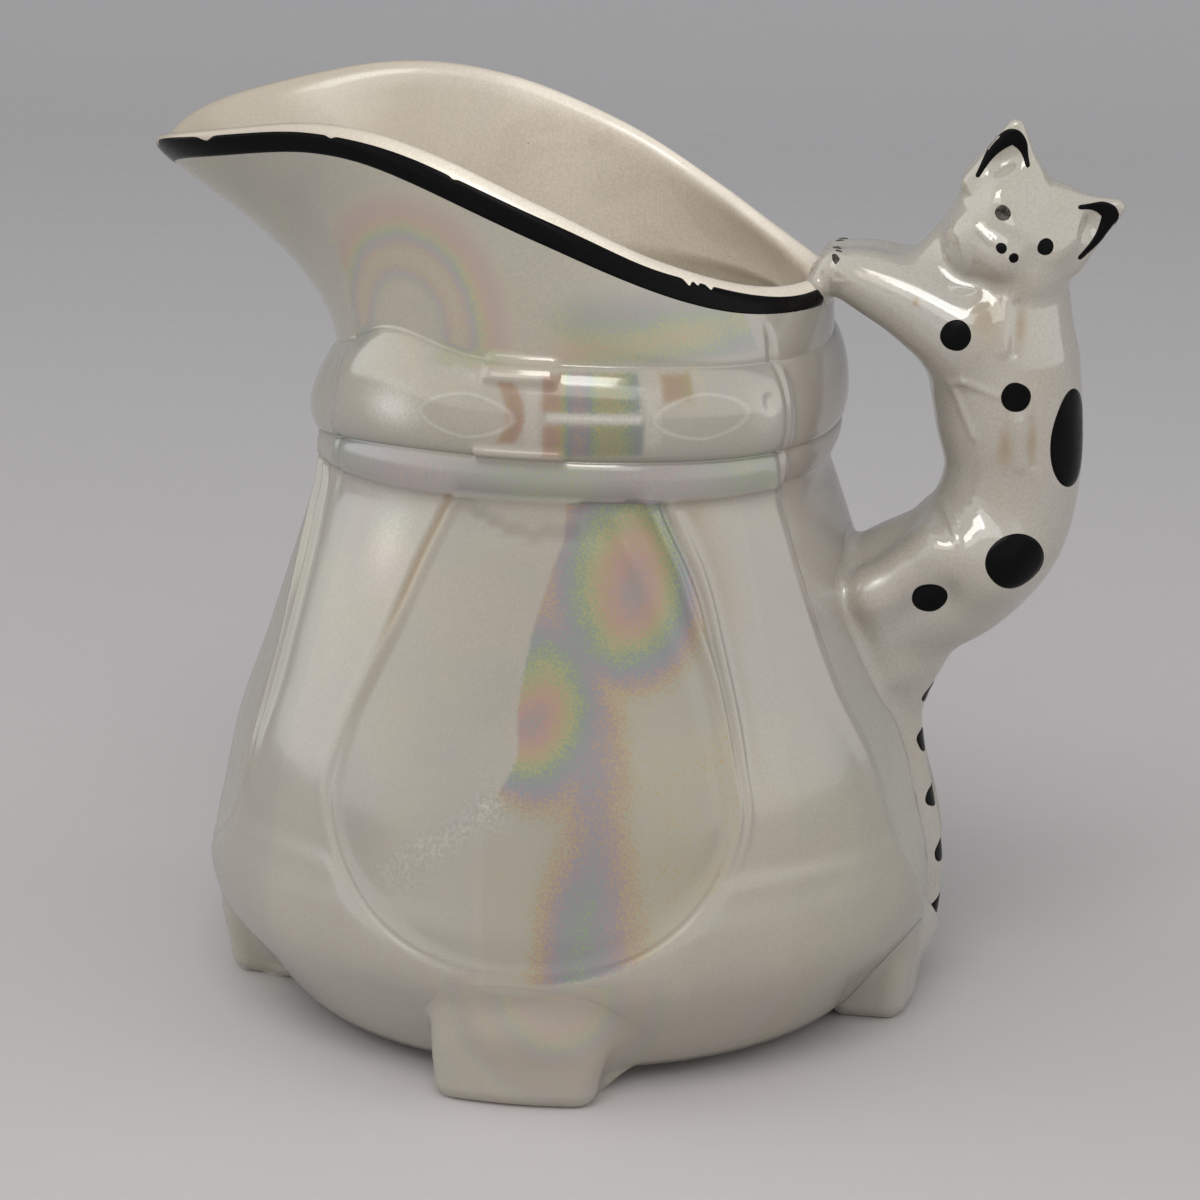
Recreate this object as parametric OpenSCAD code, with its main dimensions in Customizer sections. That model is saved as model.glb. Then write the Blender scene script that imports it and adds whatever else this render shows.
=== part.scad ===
// Lustre cream jug: a tied sack on four block feet, with a spotted cat for its handle.
// Millimetres, +Z up. The spout points to -X, the cat climbs the +X side and looks towards -Y.

/* [Jug] */
// Radius at the widest place
belly_r = 47.2; // [46.8:0.2:48.6]
// Height of the widest place
belly_z = 18; // [17.5:0.5:19]
// Radius of the flat underside
base_r = 37; // [34:0.5:38]
// Height of the underside over the table
base_z = 2.4; // [2:0.2:3.4]
// Radius just under the belt
waist_r = 32.7; // [32.1:0.2:33.3]
// Radius of the neck above the belt
neck_r = 30.8; // [30:0.2:32]
// Thickness of the cast wall
wall = 3.2; // [2.6:0.1:4]
// How much the corners of the sack stand out, as a share of the radius
squareness = 0.03; // [0:0.005:0.05]

/* [Rim and spout] */
// Height of the rim at the spout's tip
tip_z = 107.5; // [105:0.5:109]
// Height of the rim's two crests, behind the spout
crest_z = 114.4; // [112:0.2:116]
// Height of the rim under the cat's paws
rim_back_z = 94; // [92:0.5:96]
// Radius of the round part of the rim
rim_r = 28; // [27:0.2:30]
// How far the spout's tip reaches past the round
spout_len = 26; // [22:0.5:27]
// Angle over which the spout dies away into the rim
spout_spread = 30; // [26:1:34]
// Width of the black line below the rim
line_w = 2.9; // [2:0.1:3.4]

/* [Belt] */
// Top edge of the belt on the front
belt_top = 88.6; // [87:0.2:90]
// Bottom edge of the belt on the front
belt_low = 77.5; // [76:0.5:79]
// Bottom edge of the thin band under the belt
band_low = 72; // [71:0.2:73]
// How far the belt swells on the front
belt_swell = 2.2; // [1.5:0.1:3]
// How far the keeper loop stands out at the belt's two edges
keeper_h = 0.9; // [0.4:0.1:1.4]
// How far the thin band swells
band_swell = 0.9; // [0.4:0.1:1.4]

/* [Panels] */
// Depth of the bell-shaped panels
panel_depth = 0.9; // [0.4:0.1:1.4]
// Lowest point of a panel
panel_low = 17; // [16:0.5:18]
// Height of the crease above the skirt
skirt_z = 28; // [27:0.5:29]
// Depth of the hollow that the tail lies in
tail_hollow = 1.8; // [1:0.1:2.4]

/* [Feet] */
// Width of a foot
foot_w = 22; // [18:0.2:24]
// Reach of a foot's outer face from the axis, on the table
foot_r = 45; // [44:0.2:46]
// Depth of a foot
foot_deep = 11; // [8:0.5:12]

/* [Cat] */
// Middle of the head, over the jug's axis
head_x = 53.4; // [52:0.2:55]
// Height of the middle of the head
head_z = 100.2; // [99:0.2:102]
// Tilt of the head to the side
head_tilt = 38; // [25:1:45]
// Radius of the round of the head
head_r = 7.9; // [7:0.1:8.6]
// Thickness of the black enamel
enamel = 0.25; // [0.2:0.05:0.4]

/* [Hidden] */

// The frame's origin is under the middle of the whole outline, which the cat makes longer than the jug
axis_x = -6.6;

glaze = [0.86, 0.83, 0.77];
black = [0.05, 0.05, 0.06];

// The rolled end of the belt and its keeper loop, by their angle on the front
roll_at = 234;
roll_rise = 2.8;
roll_spread = 15;
keeper_at = 268.5;
keeper_half = 9.5;

// How far the belt's top, its bottom and the thin band hang lower at the spout and at the cat
spout_dips = [4.6, 4.2, 2.6];
cat_dips = [2.4, 1.8, 0.4];
// How much narrower the neck is under the spout
spout_tuck = 1.5;

// The levels below the rim that bound the black line
line_top = 1;
line_low = line_top + line_w;

// Steps of the wall's mesh: columns on each quarter, from pillar to panel
pillar_steps = 3;
panel_steps = 4;
quarter = 2 * (pillar_steps + 1 + panel_steps);
columns = 4 * quarter;
lip_angle = 2.4;
// From this height up the columns stand upright
upright_z = 72;

// Radius of the sack by height, from the underside to the neck
body_profile = [[base_z, base_r], [4, 38.5], [6.5, 40.4], [9, 42.3], [12, 44.6], [15, 46.5],
    [belly_z, belly_r],
    [22, 46.9], [26, 46], [36.7, 43.5], [47.5, 40], [58, 36.6], [66, 34], [70, waist_r], [78, waist_r - 0.7],
    [90, neck_r]];
// Half angle of a bell-shaped panel by height
panel_half = [[panel_low, 4], [19, 14], [24, 25.6], [30, 32], [38, 34], [46, 33],
    [55, 30.2], [64, 27], [upright_z, 22]];
// Half angle of the hollow behind the tail by height
hollow_half = [[14, 8], [18, 13], [28, 18], [41, 25], [60, 27], [72, 28]];
// Height of the rim by angle from the cat to the spout
rim_heights = [[0, rim_back_z], [30, rim_back_z + 1.3], [60, 99.9], [90, 106.8], [120, 112.6],
    [143, crest_z], [163, 111.4], [180, tip_z]];

function mod90(a) = let (b = (a + 45) % 90) (b < 0 ? b + 90 : b) - 45;
function turn(a) = let (b = abs(a) % 360) b > 180 ? 360 - b : b;
function clamp(v) = min(max(v, 0), 1);
function soft(v) = let (t = clamp(v)) t * t * (3 - 2 * t);
function hump(t) = t <= 0 || t >= 1 ? 0 : sqrt(4 * t * (1 - t));

// A smooth curve through [x, y] points, level beyond its ends
function slope(p, i) = let (a = max(i - 1, 0), b = min(i + 1, len(p) - 1))
    (p[b][1] - p[a][1]) / (p[b][0] - p[a][0]);
function span(p, x, i = 0) = i >= len(p) - 2 || x < p[i + 1][0] ? i : span(p, x, i + 1);
function curve(p, x) = x <= p[0][0] ? p[0][1] : x >= p[len(p) - 1][0] ? p[len(p) - 1][1] :
    let (i = span(p, x), h = p[i + 1][0] - p[i][0], t = (x - p[i][0]) / h)
    (1 + 2 * t) * (1 - t) ^ 2 * p[i][1] + t * (1 - t) ^ 2 * h * slope(p, i)
    + t ^ 2 * (3 - 2 * t) * p[i + 1][1] + t ^ 2 * (t - 1) * h * slope(p, i + 1);

// Heights that bend around the jug: the belt hangs lower on the spout's and the cat's side
function side_share(a) = cos(a) ^ 2;
function at_spout(a) = turn(a) > 90 ? side_share(a) ^ 2 : 0;
function dip_at(a, i) = spout_dips[i] * at_spout(a) + (turn(a) < 90 ? cat_dips[i] * side_share(a) : 0);
function behind_cat(a) = soft(1 - turn(a) / 50);
function belt_top_at(a) = belt_top - dip_at(a, 0) + roll_rise * exp(-((a - roll_at) / roll_spread) ^ 2);
function belt_low_at(a) = belt_low - dip_at(a, 1);
function band_low_at(a) = band_low - dip_at(a, 2);
function rim_z_at(a) = curve(rim_heights, turn(a));
// The spout's tip is blunt and its sides sweep back into the round, which opens again where the paws hold it
spout_bend = 2.75;
paw_lean = 3;
function rim_r_at(a) = rim_r + paw_lean * behind_cat(a)
    + spout_len / (1 + ((180 - turn(a)) / spout_spread) ^ spout_bend);

// The panels' and the hollow's half angle, and the relief that they press into the wall
function on_cat_side(a) = turn(a) < 45;
function half_at(a, z) = curve(on_cat_side(a) ? hollow_half : panel_half, z);
function grid_half(a, z) = max(half_at(a, z), on_cat_side(a) ? 8 : 15);
// A fold stands up along a panel's edge, and the pillars sink in above the crease of the skirt
fold_h = 0.45;
skirt_step = 0.45;
edge_fade = 2;
function relief(a, z) =
    let (m = half_at(a, z), d = abs(mod90(a)), depth = on_cat_side(a) ? tail_hollow : panel_depth,
        low = on_cat_side(a) ? hollow_half[0][0] - 1 : panel_low, high = band_low_at(a))
    -depth * soft((m - d) / lip_angle) * soft((z - low) / edge_fade) * soft((high - z) / edge_fade + 1)
    + fold_h * clamp(1 - abs(d - m) / lip_angle) * soft((z - skirt_z) / 8) * soft((high - z) / edge_fade)
    - skirt_step * soft((z - skirt_z) / 1.4) * soft((d - m) / lip_angle) * soft((60 - z) / 20);

function square_at(a, z) = 1 + squareness * (1 - cos(4 * a)) / 2 * soft((z - 22) / 18);
function sack_r(a, z) = curve(body_profile, z) * square_at(a, z)
    - spout_tuck * at_spout(a) * soft((z - 76) / 8);
// The neck leans out towards the rim along a bend that is fullest near the top
flare_bend = 1.5;
flare_full = 0.84;
function flare_r(a, z) =
    let (low = belt_top_at(a), start = sack_r(a, low), t = clamp((z - low) / (rim_z_at(a) - low)))
    start + (rim_r_at(a) - start) * (t ^ flare_bend + flare_full * t ^ 5 * (1 - t));
// The belt lies flatter on the spout's side and nearly flush behind the cat
function swell_share(a) = 1 - 0.3 * side_share(a) - 0.5 * behind_cat(a);
// The keeper shows as a bar across each edge of the belt
function keeper(a, t) = let (off = abs(t - 0.5))
    keeper_h * soft((keeper_half - abs(a - keeper_at)) / 3)
        * soft((off - 0.24) * 5) * soft((0.62 - off) * 9);
function belts(a, z) =
    let (t = (z - belt_low_at(a)) / (belt_top_at(a) - belt_low_at(a)),
        band_t = (z - band_low_at(a)) / (belt_low_at(a) - band_low_at(a)))
    swell_share(a) * (belt_swell * hump(t) + band_swell * hump(band_t)) + keeper(a, t);
function outer_r(a, z) = z > belt_top_at(a) ? flare_r(a, z) : sack_r(a, z) + relief(a, z) + belts(a, z);
// The inside follows the belt softly, and the wall is cut on the slant where the spout leans out
inside_follow = 0.6;
spout_slant = 0.35;
function inner_r(a, z) =
    let (lean = 1 + spout_slant * exp(-(180 - turn(a)) / spout_spread))
    (z > belt_top_at(a) ? flare_r(a, z) : sack_r(a, z) + belts(a, z) * inside_follow) - wall * lean;

// Angle of a mesh column: its lines run along the edges of the panels
function column_angle(j, z) =
    let (q = floor(j / quarter), i = j % quarter, k = min(i, quarter - i), m = grid_half(90 * q, z),
        off = k <= pillar_steps ? 45 - (45 - m) * k / pillar_steps
            : (m - lip_angle) * (quarter / 2 - k) / panel_steps)
    90 * q + (i > quarter / 2 ? off : -off);
function at(a, r, z) = [r * cos(a), r * sin(a), z];
function upright(j) = column_angle(j, upright_z);
function ring(level) = [for (j = [0:columns - 1])
    wall_point(level, level[0] == "z" ? column_angle(j, level[1]) : upright(j))];

// A level is a height, a share of the stretch between two bends, or a drop below the rim
function mix(a, b, t) = a + (b - a) * t;
function height(level, a) =
    level[0] == "z" ? level[1]
    : level[0] == "band" ? mix(band_low_at(a), belt_low_at(a), level[1])
    : level[0] == "belt" ? mix(belt_low_at(a), belt_top_at(a), level[1])
    : level[0] == "flare" ? mix(belt_top_at(a), rim_z_at(a) - line_low, level[1])
    : rim_z_at(a) - level[1];
function wall_point(level, a) = let (z = height(level, a)) at(a, outer_r(a, z), z);
function lip_point(a, share, drop) = at(a, mix(outer_r(a, rim_z_at(a)), inner_r(a, rim_z_at(a)), share),
    rim_z_at(a) - drop);
function hollow_point(level, a) = let (z = height(level, a)) at(a, inner_r(a, z), z);

// Below the panels the wall is round
base_levels = [base_z, 6.5, 11, 15];
outer_levels = concat(
    [for (z = base_levels) ["z", z]],
    [for (z = [17.5, 19.2, 22, 25, skirt_z - 1, skirt_z + 0.4, 34, 42, 50, 58, 65]) ["z", z]],
    [for (t = [0, 0.4]) ["band", t]],
    [for (t = [0, 0.08, 0.3, 0.7, 0.92]) ["belt", t]],
    [for (t = [0, 0.25, 0.5, 0.75, 1]) ["flare", t]],
    [["rim", line_top]]);
floor_z = 7;
inner_levels = concat(
    [["rim", line_top]], [for (t = [0.66, 0.33, 0]) ["flare", t]], [["belt", 0.5]], [["band", 0.5]],
    [for (z = [58, 44, 30, belly_z, floor_z + 4]) ["z", z]]);

outer_rings = [for (l = outer_levels) ring(l)];
lip_drop = 0.15;
lip_rings = [for (share = [0.3, 0.7]) [for (j = [0:columns - 1]) lip_point(upright(j), share, lip_drop)]];
inner_rings = [for (l = inner_levels) [for (j = [0:columns - 1]) hollow_point(l, upright(j))]];
floor_share = 0.88;
lowest_ring = inner_rings[len(inner_rings) - 1];
floor_ring = [for (p = lowest_ring) [p[0] * floor_share, p[1] * floor_share, floor_z]];

// A closed skin of rings, each with the same count of points, capped at both ends.
// Each four-sided cell is cut along the way that its columns lean, so the panels' edges stay clean.
function flat(rings) = [for (r = rings) for (p = r) p];
function leans_left(j) = j % quarter < quarter / 2;
function skin_faces(rows, n) = concat(
    [for (i = [0:rows - 2]) for (j = [0:n - 1]) let (a = i * n + j, b = i * n + (j + 1) % n) each
        leans_left(j) ? [[a, a + n, b + n], [a, b + n, b]] : [[a, a + n, b], [b, a + n, b + n]]],
    [for (j = [0:n - 1]) [rows * n, j, (j + 1) % n]],
    [for (j = [0:n - 1]) [rows * n + 1, (rows - 1) * n + (j + 1) % n, (rows - 1) * n + j]]);
module skin(rings, first, last) {
    polyhedron(concat(flat(rings), [first, last]), skin_faces(len(rings), len(rings[0])), convexity = 8);
}

// The jug

module jug_body() {
    color(glaze) translate([axis_x, 0, 0])
        skin(concat(outer_rings, lip_rings, inner_rings, [floor_ring]), [0, 0, base_z], [0, 0, floor_z]);
}

// The jug as a full solid, to fit the other pieces against
module jug_full() {
    skin(concat(outer_rings, lip_rings), [0, 0, base_z], [0, 0, rim_back_z]);
}

// The feet

function arc(c, r, from, to, n) = [for (i = [0:n]) let (a = mix(from, to, i / n)) c + r * [cos(a), sin(a)]];
foot_round = 3;
foot_edge = 1.8;
foot_flare = 4.5;
foot_top = 14.6;
// Height of the straight part of a foot above the sweep of its sides
foot_brow = 3;

// A foot from the front: round lower corners, and sides that sweep out into the jug
module foot_front_outline() {
    w = foot_w / 2;
    side = concat(arc([w - foot_round, foot_round], foot_round, -90, 0, 4),
        arc([w + foot_flare, foot_top - foot_flare - foot_brow], foot_flare, 180, 90, 5),
        [[w + foot_flare, foot_top]]);
    mirrored = [for (i = [len(side) - 1:-1:0]) [-side[i][0], side[i][1]]];
    polygon(concat(side, mirrored));
}

// A foot from the side: an outer face that leans in a little towards the table
module foot_side_outline() {
    polygon(concat([[foot_r - foot_deep, foot_top], [foot_r - foot_deep, 0]],
        arc([foot_r - foot_edge, foot_edge], foot_edge, -90, -4, 4), [[foot_r + 0.7, foot_top]]));
}

module base_turned() {
    rotate_extrude($fn = 64)
        polygon(concat([for (z = base_levels) [curve(body_profile, z), z]],
            [[belly_r, foot_top + 4], [0, foot_top + 4], [0, base_z]]));
}

module foot(turned) {
    color(glaze) translate([axis_x, 0, 0]) rotate([0, 0, turned]) difference() {
        intersection() {
            rotate([90, 0, 90]) linear_extrude(belly_r + 5) foot_front_outline();
            rotate_extrude($fn = 64) foot_side_outline();
        }
        base_turned();
    }
}

module foot_front() { foot(-90); }
module foot_back() { foot(90); }
module foot_spout_side() { foot(180); }
module foot_handle_side() { foot(0); }

// The cat: each limb is a chain of balls [x, y, z, radius, width share] along a smooth curve

function along(pts, n) = [for (i = [0:n]) let (u = i / n * (len(pts) - 1))
    [for (k = [0:4]) curve([for (j = [0:len(pts) - 1]) [j, pts[j][k]]], u)]];
module ball(b, grow, sides) {
    translate([b[0], b[1], b[2]]) scale([1, b[4], 1]) sphere(b[3] + grow, $fn = sides);
}
module chain(pts, steps, sides, grow = 0) {
    balls = along(pts, steps);
    for (i = [0:steps - 1]) hull() {
        ball(balls[i], grow, sides);
        ball(balls[i + 1], grow, sides);
    }
}

torso_line = [[53, 0, 94, 7, 1], [52.2, 0, 86, 9.2, 0.98], [53, 0, 78.5, 9.3, 0.95],
    [53.8, 0, 70.5, 8.6, 0.95], [52, 0, 63, 8.7, 1], [47.2, 0, 57.4, 8.8, 1.02],
    [41, 0, 53.8, 9.2, 0.95], [36, 0, 51, 9.2, 0.9]];
foreleg_line = [[47, 4.4, 88.4, 6, 1], [40.8, 4.2, 90.8, 4.7, 1], [34.8, 3.9, 92.8, 3.9, 1],
    [30.6, 3.7, 94.3, 3.2, 1.1], [28.4, 3.6, 94.2, 2.8, 1.1]];
hind_leg_line = [[51, 5.6, 60.5, 5.6, 0.9], [46.5, 8, 61.5, 4.8, 0.9], [42, 8.8, 59.8, 3.6, 1],
    [38.4, 9, 58, 3, 1.05], [35.6, 9, 57.4, 3, 1.15]];
tail_line = [[40.2, 0, 45, 5.4, 1], [39.6, 0, 39, 4.2, 1], [41, 0, 33, 3, 1], [42.6, 0, 26.4, 2.7, 1],
    [44, 0, 18.5, 2.5, 1], [44.2, 0, 11.5, 2, 1], [43.8, 0, 8.5, 1.3, 1]];

module torso_form(grow = 0) { chain(torso_line, 11, 18, grow); }
module foreleg_form(grow = 0) { chain(foreleg_line, 7, 12, grow); }
module hind_leg_form(grow = 0) { chain(hind_leg_line, 7, 12, grow); }
module tail_form(grow = 0) { chain(tail_line, 11, 12, grow); }

// Half of space on the near side of the cat's middle
module near_half() { translate([0, -50, 0]) cube([200, 100, 300], center = true); }

module head_frame() { translate([head_x, -1.5, head_z]) rotate([0, head_tilt, 0]) children(); }
module head_form(grow = 0) {
    head_frame() {
        scale([1.02, 0.94, 0.94]) sphere(head_r + grow, $fn = 20);
        for (s = [-1, 1]) {
            hull() {
                translate([s * 3.3, -2.6, -2.2]) sphere(4.6 + grow, $fn = 12);
                translate([s * 1.5, -4.6, -3.2]) sphere(2.9 + grow, $fn = 12);
            }
            hull() {
                translate([s * 3, -2.4, 2.6]) sphere(4.4 + grow, $fn = 12);
                translate([0, -4.4, 1]) sphere(2.6 + grow, $fn = 12);
            }
        }
        hull() {
            translate([0, -4.9, -1.7]) sphere(2.2 + grow, $fn = 12);
            translate([0, -4.4, -4]) sphere(2.5 + grow, $fn = 12);
        }
    }
    // The scruff that runs down to the forelegs
    chain([[51, -0.5, 102, 5.4, 1], [48.6, 0, 98, 4.6, 1], [45.6, 0, 94, 4.2, 1]], 4, 12, grow);
}

ear_tip = [7.9, -0.8, 10.8];
ear_inner = [3.3, -0.4, 6.7];
ear_outer = [7.3, -0.4, 2.4];
// An ear on the side s, open to the front
module ear_form(s) {
    head_frame() difference() {
        hull() {
            translate([s * ear_tip[0], ear_tip[1], ear_tip[2] - 0.8]) sphere(0.9, $fn = 10);
            translate([s * ear_inner[0], ear_inner[1], ear_inner[2]]) sphere(1.7, $fn = 12);
            translate([s * ear_outer[0], ear_outer[1], ear_outer[2]]) sphere(1.7, $fn = 12);
        }
        hull() {
            translate([s * (ear_tip[0] - 0.3), -2.6, ear_tip[2] - 2.8]) sphere(0.9, $fn = 10);
            translate([s * (ear_inner[0] + 0.7), -2.6, ear_inner[2] - 0.6]) sphere(1.3, $fn = 10);
            translate([s * (ear_outer[0] - 0.6), -2.6, ear_outer[2] + 0.9]) sphere(1.3, $fn = 10);
        }
    }
}

module cat_torso() {
    color(glaze) translate([axis_x, 0, 0]) difference() {
        torso_form();
        jug_full();
    }
}

module cat_head() {
    color(glaze) translate([axis_x, 0, 0]) difference() {
        head_form();
        torso_form();
    }
}

module cat_ear(s) {
    color(glaze) translate([axis_x, 0, 0]) difference() {
        ear_form(s);
        head_form();
    }
}
module cat_ear_left() { cat_ear(-1); }
module cat_ear_right() { cat_ear(1); }

// A limb on the far side is its mirror image on the near side
module mirrored(near) { mirror([0, near ? 1 : 0, 0]) children(); }

module cat_foreleg(near) {
    color(glaze) translate([axis_x, 0, 0]) difference() {
        mirrored(near) difference() {
            foreleg_form();
            near_half();
        }
        torso_form();
        head_form();
        jug_full();
    }
}
module cat_foreleg_left() { cat_foreleg(true); }
module cat_foreleg_right() { cat_foreleg(false); }

module cat_hind_leg(near) {
    color(glaze) translate([axis_x, 0, 0]) difference() {
        mirrored(near) hind_leg_form();
        torso_form();
        jug_full();
    }
}
module cat_hind_leg_left() { cat_hind_leg(true); }
module cat_hind_leg_right() { cat_hind_leg(false); }

module cat_tail() {
    color(glaze) translate([axis_x, 0, 0]) difference() {
        tail_form();
        torso_form();
        jug_full();
    }
}

// The black enamel: thin skins over the glaze

line_end = 16;
line_columns = [for (lap = [0, 360]) for (j = [0:columns - 1])
    let (a = upright(j) + lap) if (a > line_end && a < 360 - line_end) a];
function line_edge(a, drop, fat) = let (z = rim_z_at(a) - drop) at(a, outer_r(a, z) + fat, z);
line_rings = [for (a = line_columns)
    [line_edge(a, line_top, 0), line_edge(a, line_top, enamel),
        line_edge(a, line_low, enamel), line_edge(a, line_low, 0)]];
function mean(points) = [for (p = points) 1 / len(points)] * points;

module rim_line() {
    color(black) translate([axis_x, 0, 0])
        skin(line_rings, mean(line_rings[0]), mean(line_rings[len(line_rings) - 1]));
}

// Spots on the torso: [x, height, radius] on the near side, and again on the far side
near_spots = [[47.1, 89.2, 2.2], [54.5, 81.7, 2.1], [55.1, 61.1, 3.5]];
far_spots = [[50, 84.5, 2.4], [56, 73, 2.8], [54, 62, 2.6]];
leg_spots = [[44.9, 56.2, 2.1]];
// The large one near the edge of the back: place along x, turn towards the near side, height
back_spot = [53.6, -38, 75.6];
back_spot_h = 12.2;
back_spot_w = 8;

module pin(x, z, r, side) {
    translate([x, 0, z]) rotate([side * 90, 0, 0]) cylinder(30, r, r, $fn = 14);
}
module spots_cut() {
    for (s = near_spots) pin(s[0], s[1], s[2], 1);
    for (s = leg_spots) pin(s[0], s[1], s[2], 1);
    for (s = far_spots) pin(s[0], s[1], s[2], -1);
    translate([back_spot[0], 0, back_spot[2]]) rotate([0, 0, back_spot[1]]) rotate([0, 90, 0])
        scale([back_spot_h / back_spot_w, 1, 1]) cylinder(12, back_spot_w / 2, back_spot_w / 2, $fn = 18);
}
module cat_spots() {
    color(black) translate([axis_x, 0, 0]) difference() {
        intersection() {
            union() {
                torso_form(enamel);
                mirrored(true) foreleg_form(enamel);
                mirrored(true) hind_leg_form(enamel);
            }
            spots_cut();
        }
        torso_form();
        foreleg_form();
        mirrored(true) foreleg_form();
        mirrored(true) hind_leg_form();
        hind_leg_form();
    }
}

// Short bars across the tail, towards its far side
bar_heights = [41, 34.6, 27.2, 20, 12.4];
bar_h = 2.6;
bar_w = 3.2;
bar_aside = 0.6;
module tail_bars() {
    color(black) translate([axis_x, 0, 0]) difference() {
        intersection() {
            tail_form(enamel);
            for (z = bar_heights) translate([47, bar_aside, z]) rotate([0, 90, 0])
                scale([bar_h / bar_w, 1, 1]) cylinder(9, bar_w / 2, bar_w / 2, $fn = 14, center = true);
        }
        tail_form();
        torso_form();
        jug_full();
    }
}

// Strokes along both edges of each ear
stroke = 0.45;
module ear_stroke(s) {
    reach = 0.74;
    tip = [s * (ear_tip[0] - 0.1), -1.5, ear_tip[2] - 1];
    head_frame() for (foot = [ear_inner, ear_outer]) {
        end = [s * mix(ear_tip[0], foot[0], reach), -1.95, mix(ear_tip[2], foot[2], reach)];
        hull() {
            translate(tip) sphere(stroke + 0.15, $fn = 8);
            translate(end) sphere(stroke, $fn = 8);
        }
    }
}
module ear_edges() {
    color(black) translate([axis_x, 0, 0]) for (s = [-1, 1]) difference() {
        ear_stroke(s);
        ear_form(s);
        head_form();
    }
}

// A pair of marks on the face, by their place and radius in the head's own frame
module face_marks(x, z, r) {
    color(black) translate([axis_x, 0, 0]) difference() {
        intersection() {
            head_form(enamel);
            head_frame() for (s = [-1, 1]) translate([s * x, 0, z])
                rotate([90, 0, 0]) cylinder(20, r, r, $fn = 14);
        }
        head_form();
    }
}
module eyes() { face_marks(3.3, 2.1, 0.95); }
module nostrils() { face_marks(0.95, -1, 0.6); }

// Three claw marks on each paw: the middle one's place, their width and the gap from one to the next
claw_at = [30.6, 3.7, 96];
claw_w = 1;
claw_gap = 1.7;
module claw_marks() {
    color(black) translate([axis_x, 0, 0]) difference() {
        intersection() {
            union() for (near = [true, false]) mirrored(near) foreleg_form(enamel);
            for (side = [-1, 1]) for (i = [-1:1])
                translate([claw_at[0] - claw_w / 2 * abs(i), side * (claw_at[1] + claw_gap * i),
                    claw_at[2]])
                    cylinder(6, claw_w / 2, claw_w / 2, $fn = 6);
        }
        foreleg_form();
        mirrored(true) foreleg_form();
    }
}

jug_body();
foot_front();
foot_back();
foot_spout_side();
foot_handle_side();
cat_torso();
cat_head();
cat_ear_left();
cat_ear_right();
cat_foreleg_left();
cat_foreleg_right();
cat_hind_leg_left();
cat_hind_leg_right();
cat_tail();
rim_line();
cat_spots();
tail_bars();
ear_edges();
eyes();
nostrils();
claw_marks();
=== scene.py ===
"""The looks of the lustre cream jug: its drapery, the cat for a handle, enamel, glaze, light and camera.

Lengths in this script are millimetres about the jug's upright axis, and angles are degrees around it: the cat
sits at 0, the spout at 180 and the front that the photograph shows at 270.
"""

import math

import bpy
import numpy as np
from mathutils import Matrix, Vector


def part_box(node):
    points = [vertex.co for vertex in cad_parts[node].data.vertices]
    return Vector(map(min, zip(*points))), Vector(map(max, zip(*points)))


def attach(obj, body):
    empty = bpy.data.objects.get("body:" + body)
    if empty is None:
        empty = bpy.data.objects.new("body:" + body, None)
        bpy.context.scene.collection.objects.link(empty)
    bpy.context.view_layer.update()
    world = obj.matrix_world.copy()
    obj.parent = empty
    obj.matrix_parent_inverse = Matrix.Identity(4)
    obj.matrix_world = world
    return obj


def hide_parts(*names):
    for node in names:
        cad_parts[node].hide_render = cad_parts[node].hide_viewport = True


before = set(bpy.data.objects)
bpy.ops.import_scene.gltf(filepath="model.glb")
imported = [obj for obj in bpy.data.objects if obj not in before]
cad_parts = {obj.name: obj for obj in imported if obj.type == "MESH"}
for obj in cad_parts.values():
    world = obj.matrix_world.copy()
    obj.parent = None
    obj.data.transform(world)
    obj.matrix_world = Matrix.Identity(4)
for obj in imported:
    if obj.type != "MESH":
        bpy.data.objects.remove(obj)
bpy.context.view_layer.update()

MM = 0.001
front_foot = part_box("foot_front")
AXIS_X = (front_foot[0].x + front_foot[1].x) / 2


def place(points):
    """Points in millimetres about the jug's axis, as metres in the frame."""
    return np.asarray(points, float) * MM + np.array([AXIS_X, 0, 0])


def clamp(v):
    return np.clip(v, 0, 1)


def soft(v):
    t = clamp(v)
    return t * t * (3 - 2 * t)


def bell(v):
    return np.exp(-v * v)


def between(low, high, share):
    """The value at a share of the way from one to another."""
    return low + (high - low) * share


def outward(angle):
    """The way out from the jug's axis at an angle."""
    turned = math.radians(angle)
    return np.array([math.cos(turned), math.sin(turned), 0])


def beside(x, z, start, run):
    """For points beside a straight line: the share of its run that is nearest, and how far off they lie."""
    (ax, az), (ex, ez) = start, run
    t = clamp(((x - ax) * ex + (z - az) * ez) / (ex * ex + ez * ez))
    return t, np.hypot(x - ax - t * ex, z - az - t * ez)


def curve(points, x):
    """A smooth curve through (x, y) points, level beyond its ends."""
    px, py = np.array(points, float).T
    last = len(px) - 1
    low = np.maximum(np.arange(last + 1) - 1, 0)
    high = np.minimum(np.arange(last + 1) + 1, last)
    slope = (py[high] - py[low]) / (px[high] - px[low])
    x = np.clip(x, px[0], px[-1])
    i = np.clip(np.searchsorted(px, x, side="right") - 1, 0, last - 1)
    h = px[i + 1] - px[i]
    t = (x - px[i]) / h
    start = (1 + 2 * t) * (1 - t) ** 2 * py[i] + t * (1 - t) ** 2 * h * slope[i]
    end = t ** 2 * (3 - 2 * t) * py[i + 1] + t ** 2 * (t - 1) * h * slope[i + 1]
    return start + end


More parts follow.
